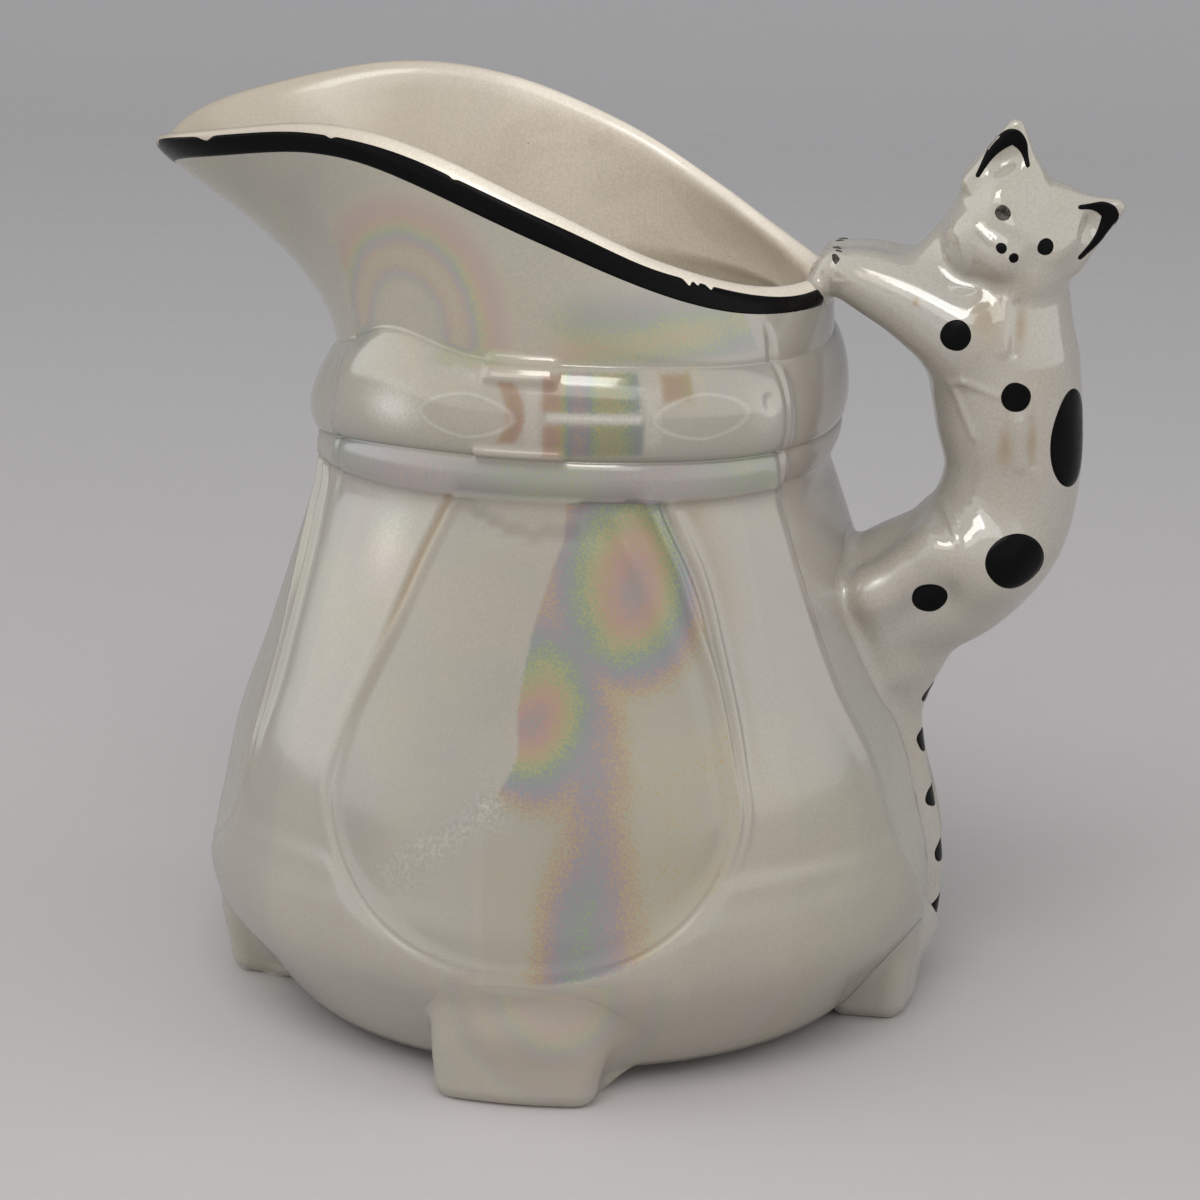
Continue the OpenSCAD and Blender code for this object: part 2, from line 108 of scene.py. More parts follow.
def ripple(x, y, seed):
    """A smooth uneven number from about -1 to 1, for hand-made edges."""
    waves = ((1.0, 0.31, 0.0), (-0.52, 0.87, 1.7), (0.71, -1.13, 4.1), (1.63, 0.95, 2.6))
    total = 0
    for i, (u, v, phase) in enumerate(waves):
        total = total + np.sin(u * x + v * y + phase + seed * (1.3 + i)) / (1 + 0.35 * i)
    return total / 2.4


# The jug's shape

BASE_Z, BASE_R = 2.4, 37.0
BELLY_Z, BELLY_R = 18.0, 47.2
WAIST_R, NECK_R = 32.7, 30.8
WALL = 3.2
FLOOR_Z = 7.0
SQUARENESS = 0.03
TIP_Z, CREST_Z, RIM_BACK_Z = 107.5, 114.4, 94.0
RIM_R, SPOUT_LEN, SPOUT_SPREAD, SPOUT_BEND, PAW_LEAN = 28.0, 26.0, 30.0, 2.75, 3.0
BELT_TOP, BELT_LOW, BAND_LOW = 88.6, 77.5, 72.0
# How far the belt's top, its bottom and the thin band hang lower at the spout and at the cat
SPOUT_DIPS, CAT_DIPS = (4.6, 4.2, 0.5), (2.4, 1.8, 0.4)
SPOUT_TUCK, FLARE_BEND, FLARE_FULL = 1.5, 1.5, 0.84
BELT_SWELL, BAND_SWELL = 2.3, 0.9
BELT_RIGHT, BELT_LEFT = 35.0, 141.0
ROLL_AT, ROLL_SPREAD, ROLL_RISE = 234.0, 15.0, 2.8
PANEL_MID, PANEL_LOW, PANEL_HALF, PANEL_DEPTH = 38.0, 17.3, 34.0, 0.9
HOLLOW_DEPTH = 1.8
SKIRT_Z = 28.0
UPRIGHT_Z = 72.0
LINE_TOP, LINE_LOW = 1.0, 3.9
# Millimetres for each degree around the belt
BELT_ARC = 0.56
# The keeper's two bars and the torn tongue: (middle angle, half angle, lowest, highest, edge)
KEEPER_TOP = (266.8, 8.4, 86.3, 89.4, 0.9)
KEEPER_LOW = (266.9, 9.8, 77.0, 78.9, 0.5)
TONGUE_AT, TONGUE_HALF, TONGUE_LOW, TONGUE_TOP, TONGUE_EDGE = 266.0, 14.0, 68.3, 72.6, 0.5
KEEPER_TOP_HIGH, KEEPER_LOW_HIGH, TONGUE_HIGH = 1.2, 0.85, 0.55
# A dent near the belt's right end: its angle, height and radius
DENT_A, DENT_Z, DENT_R = 320.0, 83.2, 0.9
# Relief beside a panel's edge: (height, half width)
LIP, GROOVE = (0.5, 0.5), (-0.5, 0.4)
SECOND_FOLD, SECOND_GROOVE, BROAD_FOLD = (0.35, 0.45), (-0.25, 0.7), (0.3, 1.2)
LEFT_FOLD, LEFT_GROOVE = (0.1, 0.7), (-0.55, 0.55)
LOW_LINE, HOLLOW_FOLD = (0.2, 0.4), (0.3, 1.1)
SKIRT_STEP = 0.26
# Where the wall bulges inside the belt
BULGE_LOW, BULGE_TALL = 72.0, 17.0

BODY_PROFILE = ((BASE_Z, BASE_R), (4, 38.5), (6.5, 40.4), (9, 42.3), (12, 44.6), (15, 46.5),
                (BELLY_Z, BELLY_R), (22, 46.9), (26, 46), (36.7, 43.5), (47.5, 40), (58, 36.6), (66, 34),
                (70, WAIST_R), (78, WAIST_R - 0.7), (90, NECK_R))
PANEL_UPPER = ((PANEL_MID, PANEL_HALF), (46, 33), (55, 30.2), (64, 27), (UPRIGHT_Z, 22))
HOLLOW_HALF = ((12, 8), (17, 14), (28, 22), (39, 25.4), (48, 30), (60, 33), (UPRIGHT_Z, 34.5))
RIM_HEIGHTS = ((0, RIM_BACK_Z), (30, RIM_BACK_Z + 1.3), (60, 99.9), (90, 106.8), (120, 112.6),
               (143, CREST_Z), (163, 111.4), (180, TIP_Z))


def turn(a):
    """How far an angle is from the cat, from 0 to 180."""
    b = np.abs(a) % 360
    return np.where(b > 180, 360 - b, b)


def from_face(a):
    """An angle counted from the middle of the nearest of the four faces."""
    return (a + 45) % 90 - 45


def side_share(a):
    return np.cos(np.radians(a)) ** 2


def behind_cat(a):
    return soft(1 - turn(a) / 50)


def at_spout(a):
    return side_share(a) ** 2 * (turn(a) > 90)


def dip_at(a, which):
    return SPOUT_DIPS[which] * at_spout(a) + CAT_DIPS[which] * side_share(a) * (turn(a) < 90)


def belt_top_at(a):
    return BELT_TOP - dip_at(a, 0) + ROLL_RISE * bell((a % 360 - ROLL_AT) / ROLL_SPREAD)


def belt_low_at(a):
    return BELT_LOW - dip_at(a, 1)


def band_low_at(a):
    return BAND_LOW - dip_at(a, 2)


def rim_z_at(a):
    return curve(RIM_HEIGHTS, turn(a))


def rim_r_at(a):
    spout = SPOUT_LEN / (1 + ((180 - turn(a)) / SPOUT_SPREAD) ** SPOUT_BEND)
    return RIM_R + PAW_LEAN * behind_cat(a) + spout


def sack_r(a, z):
    square = SQUARENESS * (1 - np.cos(np.radians(4 * a))) / 2 * soft((z - 22) / 18)
    return curve(BODY_PROFILE, z) * (1 + square) - SPOUT_TUCK * at_spout(a) * soft((z - 76) / 8)


def panel_lean(z):
    """The panels' tops are drawn a little to one side, by this angle."""
    return 0.7 + 3.3 * soft((z - PANEL_MID) / 28)


def panel_inside(a, z):
    """How far a point lies inside the edge of its bell-shaped panel, in millimetres."""
    arc = math.radians(1) * curve(BODY_PROFILE, z)
    aside = np.abs(from_face(a) - panel_lean(z))
    across = aside / PANEL_HALF
    down = (PANEL_MID - z) / (PANEL_MID - PANEL_LOW)
    q = np.sqrt(across ** 2 + down ** 2) + 1e-6
    steep = np.sqrt((across / (PANEL_HALF * arc)) ** 2 + (down / (PANEL_MID - PANEL_LOW)) ** 2) + 1e-6
    bowl = (1 - q) * q / steep
    half = curve(PANEL_UPPER, z)
    rate = (curve(PANEL_UPPER, z + 0.5) - curve(PANEL_UPPER, z - 0.5)) * arc
    upper = (half - aside) * arc / np.sqrt(1 + rate ** 2)
    return np.where(z < PANEL_MID, bowl, upper)


def hollow_inside(a, z):
    """How far a point lies inside the edge of the hollow behind the cat's tail, in millimetres."""
    arc = math.radians(1) * curve(BODY_PROFILE, z)
    return (curve(HOLLOW_HALF, z) - turn(a)) * arc


def bar(a, z, middle, half, low, high, edge):
    """A raised bar across a stretch of the wall, 1 on its top."""
    aside = (half - np.abs(a % 360 - middle)) * BELT_ARC
    return soft(aside / edge) * soft((z - low) / edge) * soft((high - z) / edge)


def fold(d, size):
    """The height of a fold across a line that lies d away."""
    high, wide = size
    return high * bell(d / wide)


def drapery(a, z):
    """The relief of the panels, their folds, the crease over the skirt and the hollow behind the tail."""
    high = band_low_at(a)
    on_cat = turn(a) < 45
    right = from_face(a) > panel_lean(z)
    d = panel_inside(a, z)
    fade = soft((high - z) / 3 + 1)
    folds = soft((z - SKIRT_Z) / 8) * soft((high + 1 - z) / 2)
    ridge = np.where(right, 1.3 * soft((z - 50) / 12) - 0.1, -0.3)
    upper = soft((z - 34) / 14)
    press = -PANEL_DEPTH * (0.55 + 0.45 * upper) * soft((d - ridge) / (2.8 - 1.2 * upper)) * fade
    press -= fold(d - 0.3, LOW_LINE) * (1 - upper) * fade
    lip = fold(d - ridge, LIP)
    groove = fold(d + 0.6 - 0.4 * soft((z - 58) / 10), GROOVE) * soft((z - 38) / 8)
    second = fold(d + 1.4, SECOND_FOLD) + fold(d + 2.7, SECOND_GROOVE) * soft((z - 36) / 10)
    broad = fold(d - 3.2 - 2.4 * soft((z - 48) / 18), BROAD_FOLD)
    nick = fold(d + 1.0, LEFT_FOLD) + fold(d + 0.4, LEFT_GROOVE) * soft((z - 52) / 10)
    wander = 0.6 * np.sin(np.radians(5 * a))
    step = SKIRT_STEP * soft((SKIRT_Z - z + wander) / 3.2 + 0.5) * soft((z - 17) / 7)
    face = press + np.where(right, lip + groove + second + broad, nick) * folds + step * soft(-d / 2)
    h = hollow_inside(a, z)
    cat = -HOLLOW_DEPTH * soft((h + 0.4) / 2.2) * soft((z - 11) / 5) * soft((high - z) / 8 + 0.6)
    cat += fold(h + 1.6, HOLLOW_FOLD) * soft((z - 18) / 10) * fade
    cat += step * soft(-h / 2)
    return np.where(on_cat, cat, face)


def hump(t, top):
    """The swell of a band across its height, with a top edge as sharp as an exponent says."""
    t = clamp(t)
    return (4 * t * (1 - t)) ** np.where(t < 0.5, 0.5, top)


def belts(a, z):
    """The belt, its keeper loop and rolled end, the thin band under it and the torn tongue of cloth below."""
    share = 1 - 0.42 * soft((BELT_RIGHT - turn(a)) / 4) - 0.33 * soft((turn(a) - BELT_LEFT) / 4)
    t = (z - belt_low_at(a)) / (belt_top_at(a) - belt_low_at(a))
    s = (z - band_low_at(a)) / (belt_low_at(a) - band_low_at(a))
    belt = BELT_SWELL * hump(t, 0.72 - 0.2 * bell((a % 360 - ROLL_AT) / ROLL_SPREAD))
    band = BAND_SWELL * hump(s, 0.5)
    top_bar = KEEPER_TOP_HIGH * bar(a, z, *KEEPER_TOP) * (1 - 0.25 * belt)
    low_bar = KEEPER_LOW_HIGH * bar(a, z, *KEEPER_LOW)
    torn = TONGUE_LOW + 0.26 * np.maximum(TONGUE_AT - a % 360, 0) + 0.35 * ripple(a * 1.1, 0, 3)
    tongue = TONGUE_HIGH * bar(a, z, TONGUE_AT, TONGUE_HALF, torn, TONGUE_TOP, TONGUE_EDGE)
    ends = bell((turn(a) - BELT_RIGHT) * BELT_ARC / 0.6) + bell((turn(a) - BELT_LEFT) * BELT_ARC / 0.6)
    crease = -0.45 * ends * soft((z - 68) / 5) * soft((92 - z) / 4)
    dent = -0.5 * bell(np.hypot((a % 360 - DENT_A) * BELT_ARC, z - DENT_Z) / DENT_R)
    return share * np.maximum(belt, band) + top_bar + low_bar + tongue + crease + dent


def flare_r(a, z):
    low = belt_top_at(a)
    start = sack_r(a, low)
    t = clamp((z - low) / (rim_z_at(a) - low))
    share = t ** FLARE_BEND + FLARE_FULL * t ** 5 * (1 - t)
    return start + (rim_r_at(a) - start) * share


def outer_r(a, z):
    low = sack_r(a, z) + drapery(a, z) * (z < BELT_LOW)
    return np.where(z > belt_top_at(a), flare_r(a, z), low) + belts(a, z)


def inner_r(a, z):
    lean = 1 + 0.35 * np.exp(-(180 - turn(a)) / SPOUT_SPREAD)
    t = clamp((z - BULGE_LOW) / BULGE_TALL)
    low = sack_r(a, z) + 0.6 * BELT_SWELL * np.sqrt(4 * t * (1 - t))
    swell = 0.18 * np.sin(np.radians(a * 3 + z * 2.3)) * soft((z - 60) / 20)
    return np.where(z > belt_top_at(a), flare_r(a, z), low) + swell - WALL * lean


def rounder_max(a, b, k):
    """The greater of two distances, with the edge where they meet rounded over a length."""
    h = np.maximum(k - np.abs(a - b), 0) / k
    return np.maximum(a, b) + h * h * k / 4


def join(a, b, k):
    """The lesser of two distances, with a fillet of a length where they meet."""
    h = np.maximum(k - np.abs(a - b), 0) / k
    return np.minimum(a, b) - h * h * k / 4


LIP_ROUND = 2.6


def wall_field(p):
    """Signed distance to the jug's wall, negative inside the ceramic."""
    r = np.hypot(p[..., 0], p[..., 1])
    a = np.degrees(np.arctan2(p[..., 1], p[..., 0])) % 360
    z = p[..., 2]
    shell = np.maximum(r - outer_r(a, z), np.minimum(inner_r(a, z) - r, z - FLOOR_Z))
    shell = rounder_max(shell, BASE_Z - z, 1.0)
    return rounder_max(shell, z - rim_z_at(a), LIP_ROUND)


def gradient(field, p, step=0.05):
    out = np.zeros_like(p)
    for k in range(3):
        shift = np.zeros(3)
        shift[k] = step
        out[..., k] = (field(p + shift) - field(p - shift)) / (2 * step)
    return out


def settle(field, p, rounds=2):
    """Moves points onto a field's surface."""
    least_slope = 0.2
    for _ in range(rounds):
        g = gradient(field, p)
        p = p - (field(p) / np.maximum((g * g).sum(-1), least_slope))[..., None] * g
    return p


# Meshes

def shown(name, data):
    """A new object in the scene."""
    thing = bpy.data.objects.new(name, data)
    bpy.context.scene.collection.objects.link(thing)
    return thing


def mesh_piece(name, points, faces, replaced, material, attributes):
    """Makes a smooth piece that rides with the jug, stands for CAD nodes and takes its finish from a slot."""
    mesh = bpy.data.meshes.new(name)
    mesh.from_pydata(place(points).tolist(), [], faces.tolist())
    for key, values in attributes.items():
        layer = mesh.attributes.new(key, "FLOAT", "POINT")
        layer.data.foreach_set("value", np.asarray(values, np.float32))
    mesh.materials.append(material)
    mesh.polygons.foreach_set("use_smooth", np.ones(len(mesh.polygons), bool))
    mesh.update()
    piece = shown(name, mesh)
    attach(piece, "root")
    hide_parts(*replaced)


def grid_faces(rows, columns, closed):
    """Four-sided faces of a grid of points, with its columns closed in a ring or open."""
    i, j = np.meshgrid(np.arange(rows - 1), np.arange(columns if closed else columns - 1), indexing="ij")
    k = (j + 1) % columns
    a, b = i * columns + j, i * columns + k
    return np.stack([a, b, b + columns, a + columns], -1).reshape(-1, 4)


# Nodes

class Nodes:
    """A short way to write the nodes of a material or a world."""

    def __init__(self, owner, shader="Principled BSDF", place="Object"):
        owner.use_nodes = True
        self.owner = owner
        self.tree = owner.node_tree
        self.shader = self.tree.nodes[shader]
        self.place = self.add("ShaderNodeTexCoord").outputs[place]

    def add(self, kind, **values):
        node = self.tree.nodes.new(kind)
        for key, value in values.items():
            setattr(node, key, value)
        return node

    def link(self, source, socket):
        if isinstance(source, (int, float, tuple)):
            socket.default_value = source
        else:
            self.tree.links.new(source, socket)

    def math(self, operation, *values, limit=False):
        node = self.add("ShaderNodeMath", operation=operation, use_clamp=limit)
        for socket, value in zip(node.inputs, values):
            self.link(value, socket)
        return node.outputs[0]

    def times(self, a, b):
        return self.math("MULTIPLY", a, b)

    def sway(self, value, by):
        """A number from 0 to 1 as one that goes as far below zero as above it."""
        return self.times(self.math("SUBTRACT", value, 0.5), by)

    def axes(self):
        node = self.add("ShaderNodeSeparateXYZ")
        self.link(self.place, node.inputs["Vector"])
        return node.outputs

    def mix(self, share, a, b, blend="MIX"):
        node = self.add("ShaderNodeMix", data_type="RGBA", blend_type=blend)
        self.link(share, node.inputs["Factor"])
        self.link(a, node.inputs["A"])
        self.link(b, node.inputs["B"])
        return node.outputs["Result"]

    def texture(self, kind, size_mm, **values):
        node = self.add(kind)
        self.link(self.place, node.inputs["Vector"])
        node.inputs["Scale"].default_value = 1 / (size_mm * MM)
        for key, value in values.items():
            node.inputs[key].default_value = value
        return node.outputs

    def noise(self, size_mm, detail=2.0, rough=0.5, twist=0.0):
        made = self.texture("ShaderNodeTexNoise", size_mm, Detail=detail, Roughness=rough, Distortion=twist)
        return made["Fac"]

    def range(self, value, low, high, to_low=0.0, to_high=1.0):
        node = self.add("ShaderNodeMapRange")
        for socket, number in zip(node.inputs, (value, low, high, to_low, to_high)):
            self.link(number, socket)
        return node.outputs[0]

    def ramp(self, value, stops):
        node = self.add("ShaderNodeValToRGB")
        ramp = node.color_ramp
        while len(ramp.elements) < len(stops):
            ramp.elements.new(0.5)
        for element, (at, color) in zip(ramp.elements, stops):
            element.position = at
            element.color = color
        self.link(value, node.inputs["Fac"])
        return node.outputs["Color"]

    def stored(self, name):
        return self.add("ShaderNodeAttribute", attribute_name=name).outputs["Fac"]

    def bump(self, height, strength, distance_mm):
        node = self.add("ShaderNodeBump")
        node.inputs["Strength"].default_value = strength
        node.inputs["Distance"].default_value = distance_mm * MM
        self.link(height, node.inputs["Height"])
        self.link(node.outputs["Normal"], self.shader.inputs["Normal"])

    def set(self, name, value):
        self.link(value, self.shader.inputs[name])


def linear(r, g, b):
    """A colour written as it shows on screen, from 0 to 255, as Blender stores it."""
    def one(v):
        v /= 255
        return v / 12.92 if v <= 0.04045 else ((v + 0.055) / 1.055) ** 2.4
    return one(r), one(g), one(b), 1.0


# Tints that the lustre film goes through as it thickens
FILM_TINTS = (
    (0.00, linear(253, 252, 249)), (0.07, linear(246, 250, 236)), (0.15, linear(255, 230, 188)),
    (0.27, linear(226, 209, 234)), (0.38, linear(199, 213, 238)), (0.48, linear(198, 229, 204)),
    (0.60, linear(234, 243, 180)), (0.73, linear(254, 224, 190)), (0.90, linear(250, 208, 216)),
    (1.00, linear(222, 212, 222)))
CREAM = linear(165, 157, 144), linear(171, 164, 152)
# CREAM_DIM is mixed in as painted shade and as dark specks in the painted glint; PALE_LIGHT is the colour of
# painted highlights and reflections
CREAM_DIM, PALE_LIGHT = linear(104, 98, 84), linear(226, 222, 214)
INSIDE = linear(245, 232, 213), linear(250, 239, 222)
# Inside: darker wavy patches as a painted reflection, and a painted shade towards the spout
INSIDE_REFLECTION, INSIDE_SHADE = linear(178, 165, 146), linear(190, 177, 158)
# OCHRE is stain, and on the cat's chest and belly also brown painted reflection
GRAIN_DARK, OCHRE = linear(112, 105, 94), linear(146, 116, 66)
SPECK, BARE_CLAY = linear(84, 70, 56), linear(222, 216, 204)
BLACK, BLACK_WORN = (linear(4, 4, 5), linear(13, 12, 13)), linear(120, 113, 106)


def film_coat(n, grain, patches):
    """Cream glaze under the lustre film, with the painted shade, painted highlights, painted reflections and
    painted glint that lie on it.
    """
    speckle = n.noise(0.55, 3, 0.7)
    uneven = n.math("ADD", n.sway(grain, 0.6), n.sway(patches, 0.3))
    film = n.ramp(n.math("ADD", n.stored("film"), uneven, limit=True), FILM_TINTS)
    edge = n.math("ADD", n.stored("patch"), n.sway(speckle, 0.3))
    tint = n.times(n.stored("tint"), n.range(grain, 0.25, 0.75, 0.6, 1.3))
    share = n.math("MAXIMUM", tint, n.range(edge, 0.42, 0.58, 0.0, 0.95), limit=True)
    cream = n.mix(n.range(patches, 0.3, 0.7), *CREAM)
    # Painted shade: darker in the belt's patches, as dark reflections, and inside the panel
    cream = n.mix(n.stored("painted_shade"), cream, CREAM_DIM)
    coat = n.mix(share, cream, n.mix(1.0, cream, film, "MULTIPLY"))
    coat = n.mix(n.times(share, 0.25), coat, n.mix(1.0, coat, film, "MULTIPLY"))
    # A painted glint on the panel, speckled
    painted_glint = n.times(n.stored("painted_glint"), n.range(speckle, 0.48, 0.62))
    # The almonds' outlines are painted pale, as painted reflections
    off_almond = n.math("ABSOLUTE", n.math("SUBTRACT", n.stored("almond"), 1.0))
    outline = n.range(off_almond, 0.0, 0.1, 0.26, 0.0)
    # Painted highlights: the stored share, the almonds' painted outlines and the painted glint, mixed in pale
    # over the rest
    painted_highlight = n.times(n.stored("painted_highlight"), n.range(grain, 0.25, 0.75, 0.8, 1.1))
    painted_highlight = n.math("MAXIMUM", n.math("MAXIMUM", painted_glint, outline), painted_highlight, limit=True)
    # Dark specks within the painted glint
    dark_specks = n.times(n.stored("painted_glint"), n.range(speckle, 0.46, 0.34, 0.0, 0.7))
    coat = n.mix(dark_specks, coat, CREAM_DIM)
    return n.mix(painted_highlight, coat, PALE_LIGHT)


def inside_coat(n):
    """The plain glaze inside the jug, with a painted reflection in darker wavy patches and painted shade
    towards the spout.
    """
    color = n.mix(n.range(n.noise(22, 2), 0.3, 0.7), *INSIDE)
    # Painted reflection: faint darker patches with wavy edges
    color = n.mix(n.range(n.noise(15, 2, 0.5, 1.4), 0.46, 0.54, 0.0, 0.1), color, INSIDE_REFLECTION)
    # Painted shade: darker inside towards the spout, high up
    return n.mix(n.stored("wear_and_shade"), color, INSIDE_SHADE)


def lustre_glaze():
    """Pearl lustre over a cream glaze. Each point stores what glaze_parts says."""
    n = Nodes(bpy.data.materials.new("lustre_glaze"))
    grain = n.noise(0.32, 2, 0.6)
    patches = n.noise(16, 3, 0.55, 0.4)
    color = n.mix(n.stored("inside"), film_coat(n, grain, patches), inside_coat(n))
    color = n.mix(n.range(grain, 0.3, 0.7, 0.2, 0.0), color, GRAIN_DARK)
    # Ochre stains, with brown painted reflections on the cat's chest and belly
    color = n.mix(n.stored("stain_and_reflection"), color, OCHRE)
    dark_specks = n.texture("ShaderNodeTexVoronoi", 4.2)
    speck = n.math("LESS_THAN", dark_specks["Distance"], n.range(dark_specks["Color"], 0.55, 1.0, 0.0, 0.032))
    color = n.mix(n.times(speck, 0.75), color, SPECK)
    bare = n.stored("bare")
    n.set("Base Color", n.mix(bare, color, BARE_CLAY))
    gloss = n.range(n.noise(1.1, 3, 0.6), 0.3, 0.7, 0.06, 0.12)
    satin = n.math("ADD", gloss, n.times(n.stored("satin"), 0.15))
    n.set("Roughness", n.math("ADD", satin, n.times(bare, 0.5), limit=True))
    n.set("IOR", 1.62)
    n.set("Coat Weight", 0.35)
    n.set("Coat Roughness", 0.04)
    n.set("Thin Film Thickness", n.range(patches, 0.25, 0.75, 62.0, 96.0))
    n.set("Thin Film IOR", 1.8)
    n.bump(n.math("ADD", n.times(grain, 0.3), n.noise(3.4, 2)), 0.12, 0.12)
    return n.owner


def black_enamel():
    """Glossy black enamel laid on with a brush. Stored on each point: wear."""
    n = Nodes(bpy.data.materials.new("black_enamel"))
    brush = n.noise(1.4, 3, 0.6)
    color = n.mix(brush, *BLACK)
    wear_and_shade = n.math("MULTIPLY", n.stored("wear"), n.range(n.noise(0.6, 2), 0.3, 0.65), limit=True)
    color = n.mix(wear_and_shade, color, BLACK_WORN)
    n.set("Base Color", color)
    n.set("Roughness", n.range(n.noise(0.9, 2), 0.3, 0.7, 0.16, 0.32))
    n.set("IOR", 1.35)
    n.set("Specular IOR Level", 0.14)
    n.bump(brush, 0.2, 0.05)
    return n.owner


glaze = lustre_glaze()
enamel = black_enamel()

# The jug's wall: columns follow the panels' edges, rows follow the belt and the rim

# Columns across half a pillar, an edge of a panel and half a panel
PILLAR_STEPS, EDGE_STEPS, PANEL_STEPS = 14, 18, 22
HALF_STEPS = PILLAR_STEPS + EDGE_STEPS + PANEL_STEPS
QUARTER = 2 * HALF_STEPS
COLUMNS = 4 * QUARTER
# Half the angle that the columns of an edge take up, and the least half angles of panels and hollow
EDGE_ANGLE, PANEL_LEAST, HOLLOW_LEAST = 3.2, 15.0, 8.0
# Rows under the base, up the thin band and over the floor, as shares of the way
BASE_ROWS, FLOOR_ROWS = (0.0, 0.3, 0.6, 0.85, 0.96), (0.7, 0.4, 0.0)
BAND_ROWS = (0.0, 0.05, 0.12, 0.22, 0.36, 0.5, 0.64, 0.78, 0.88, 0.95)
# The rounding between the wall and the floor inside, the share of the neck above which rows are settled, and
# how much duller the glaze is inside
FLOOR_ROUND, SETTLED_FROM, INSIDE_SATIN = 3.0, 0.6, 1.6


def column_angles(z):
    """The angles of all columns at a height."""
    bowl = PANEL_HALF * np.sqrt(clamp(1 - ((PANEL_MID - z) / (PANEL_MID - PANEL_LOW)) ** 2))
    panel = max(bowl if z < PANEL_MID else curve(PANEL_UPPER, z), PANEL_LEAST)
    hollow = max(curve(HOLLOW_HALF, z), HOLLOW_LEAST)
    index = np.arange(COLUMNS)
    face, i = index // QUARTER, index % QUARTER
    k = np.minimum(i, QUARTER - i)
    half = np.where(face == 0, hollow, panel)
    pillar = 45 - (45 - half - EDGE_ANGLE) * k / PILLAR_STEPS
    edge = half + EDGE_ANGLE - 2 * EDGE_ANGLE * (k - PILLAR_STEPS) / EDGE_STEPS
    middle = (half - EDGE_ANGLE) * (HALF_STEPS - k) / PANEL_STEPS
    off = np.where(k <= PILLAR_STEPS, pillar, np.where(k <= PILLAR_STEPS + EDGE_STEPS, edge, middle))
    lean = np.where(face == 0, 0, panel_lean(z)) * np.minimum(k / PILLAR_STEPS, 1)
    return 90 * face + np.where(i > HALF_STEPS, off, -off) + lean


def ring(a, r, z):
    rad = np.radians(a)
    return np.stack([r * np.cos(rad), r * np.sin(rad), np.broadcast_to(z, a.shape)], -1)


def jug_rows():
    """Rings of the jug's skin: from under its middle up the outside, over the lip and down inside."""
    rows, inside = [], []

    def add(a, r, z, share=0, settled=False):
        points = ring(a, r, z)
        rows.append(settle(wall_field, points, 3) if settled else points)
        inside.append(np.full(COLUMNS, share))

    a = column_angles(BASE_Z)
    for share in BASE_ROWS:
        add(a, BASE_R * share, BASE_Z + 0.8 * (1 - share ** 4))
    heights = (between(BASE_Z, BELLY_Z, np.linspace(0, 1, 18, endpoint=False)), np.arange(BELLY_Z, 31, 0.4),
               np.arange(31, BAND_LOW - 0.9, 0.85))
    for z in np.concatenate(heights):
        a = column_angles(z)
        add(a, outer_r(a, np.full(COLUMNS, z)), z)
    a = column_angles(UPRIGHT_Z)
    lip = WALL / 2
    band, belt, neck, rim = band_low_at(a), belt_low_at(a), belt_top_at(a), rim_z_at(a) - lip
    for t in BAND_ROWS:
        z = between(band, belt, t)
        add(a, outer_r(a, z), z)
    for t in (1 - np.cos(np.linspace(0, math.pi, 25))) / 2:
        z = between(belt, neck, t)
        add(a, outer_r(a, z), z)
    for t in np.linspace(0.02, 1, 30):
        z = between(neck, rim, t)
        add(a, outer_r(a, z), z, soft((t - 0.965) / 0.03), t > SETTLED_FROM)
    out, back = outer_r(a, rim), inner_r(a, rim)
    slope = (outer_r(a, rim + 0.4) - outer_r(a, rim - 0.4)) / 0.8
    for bend in np.linspace(0, math.pi, 13)[1:-1]:
        r = (out + back) / 2 + (out - back) / 2 * math.cos(bend) + slope * lip * math.sin(bend)
        add(a, r, rim + lip * math.sin(bend), 1, True)
    for t in np.linspace(1, 0, 15):
        z = between(neck, rim, t)
        add(a, inner_r(a, z), z, 1, t > SETTLED_FROM)
    corner_z = FLOOR_Z + FLOOR_ROUND
    for t in np.linspace(0, 1, 16)[1:]:
        z = between(neck, corner_z, t)
        add(a, inner_r(a, z), z, 1)
    floor_r = inner_r(a, np.full(COLUMNS, corner_z)) - FLOOR_ROUND
    for bend in np.linspace(0, math.pi / 2, 7)[1:]:
        add(a, floor_r + FLOOR_ROUND * math.cos(bend), corner_z - FLOOR_ROUND * math.sin(bend), 1)
    for share in FLOOR_ROWS:
        add(a, floor_r * share, FLOOR_Z, 1)
    return np.array(rows), np.array(inside)


# The lustre film on the front panel, its own colours painted where reflections show them: its peaks (x, z,
# width, stretch in height), then by height the place of the ridge below them, how thick it is there and the
# film's left bound
FILM_PEAKS = ((11.5, 63.0, 10.6, 1.35), (1.5, 48.1, 8.4, 1.5))
FILM_RIDGE = ((17, 9.2), (27, 8.9), (35, 8.3), (47, 5.6))
RIDGE_HIGH = ((17, 0.42), (27, 0.40), (35, 0.30), (42, 0.32), (48, 0.30), (57, -0.4))
FILM_LEFT = ((17, -3), (28.7, -4), (38, -3), (43, -0.6), (48, -0.8), (57.7, 0.5), (68.6, 3.7))
# Patches on the belt where the film's colours show between painted highlights, darkened as painted dark
# reflections: (first angle, last angle, lowest, highest)
BELT_PATCHES = ((271.8, 291.5, 83.6, 87.9), (272.0, 292.0, 78.3, 82.2), (296.2, 302.6, 84.6, 87.6))
BELT_FILM = ((262, 0.76), (275, 0.76), (278, 0.3), (280.5, 0.3), (282.5, 0.56), (287, 0.62), (291.5, 0.42),
             (296, 0.74), (303, 0.66))
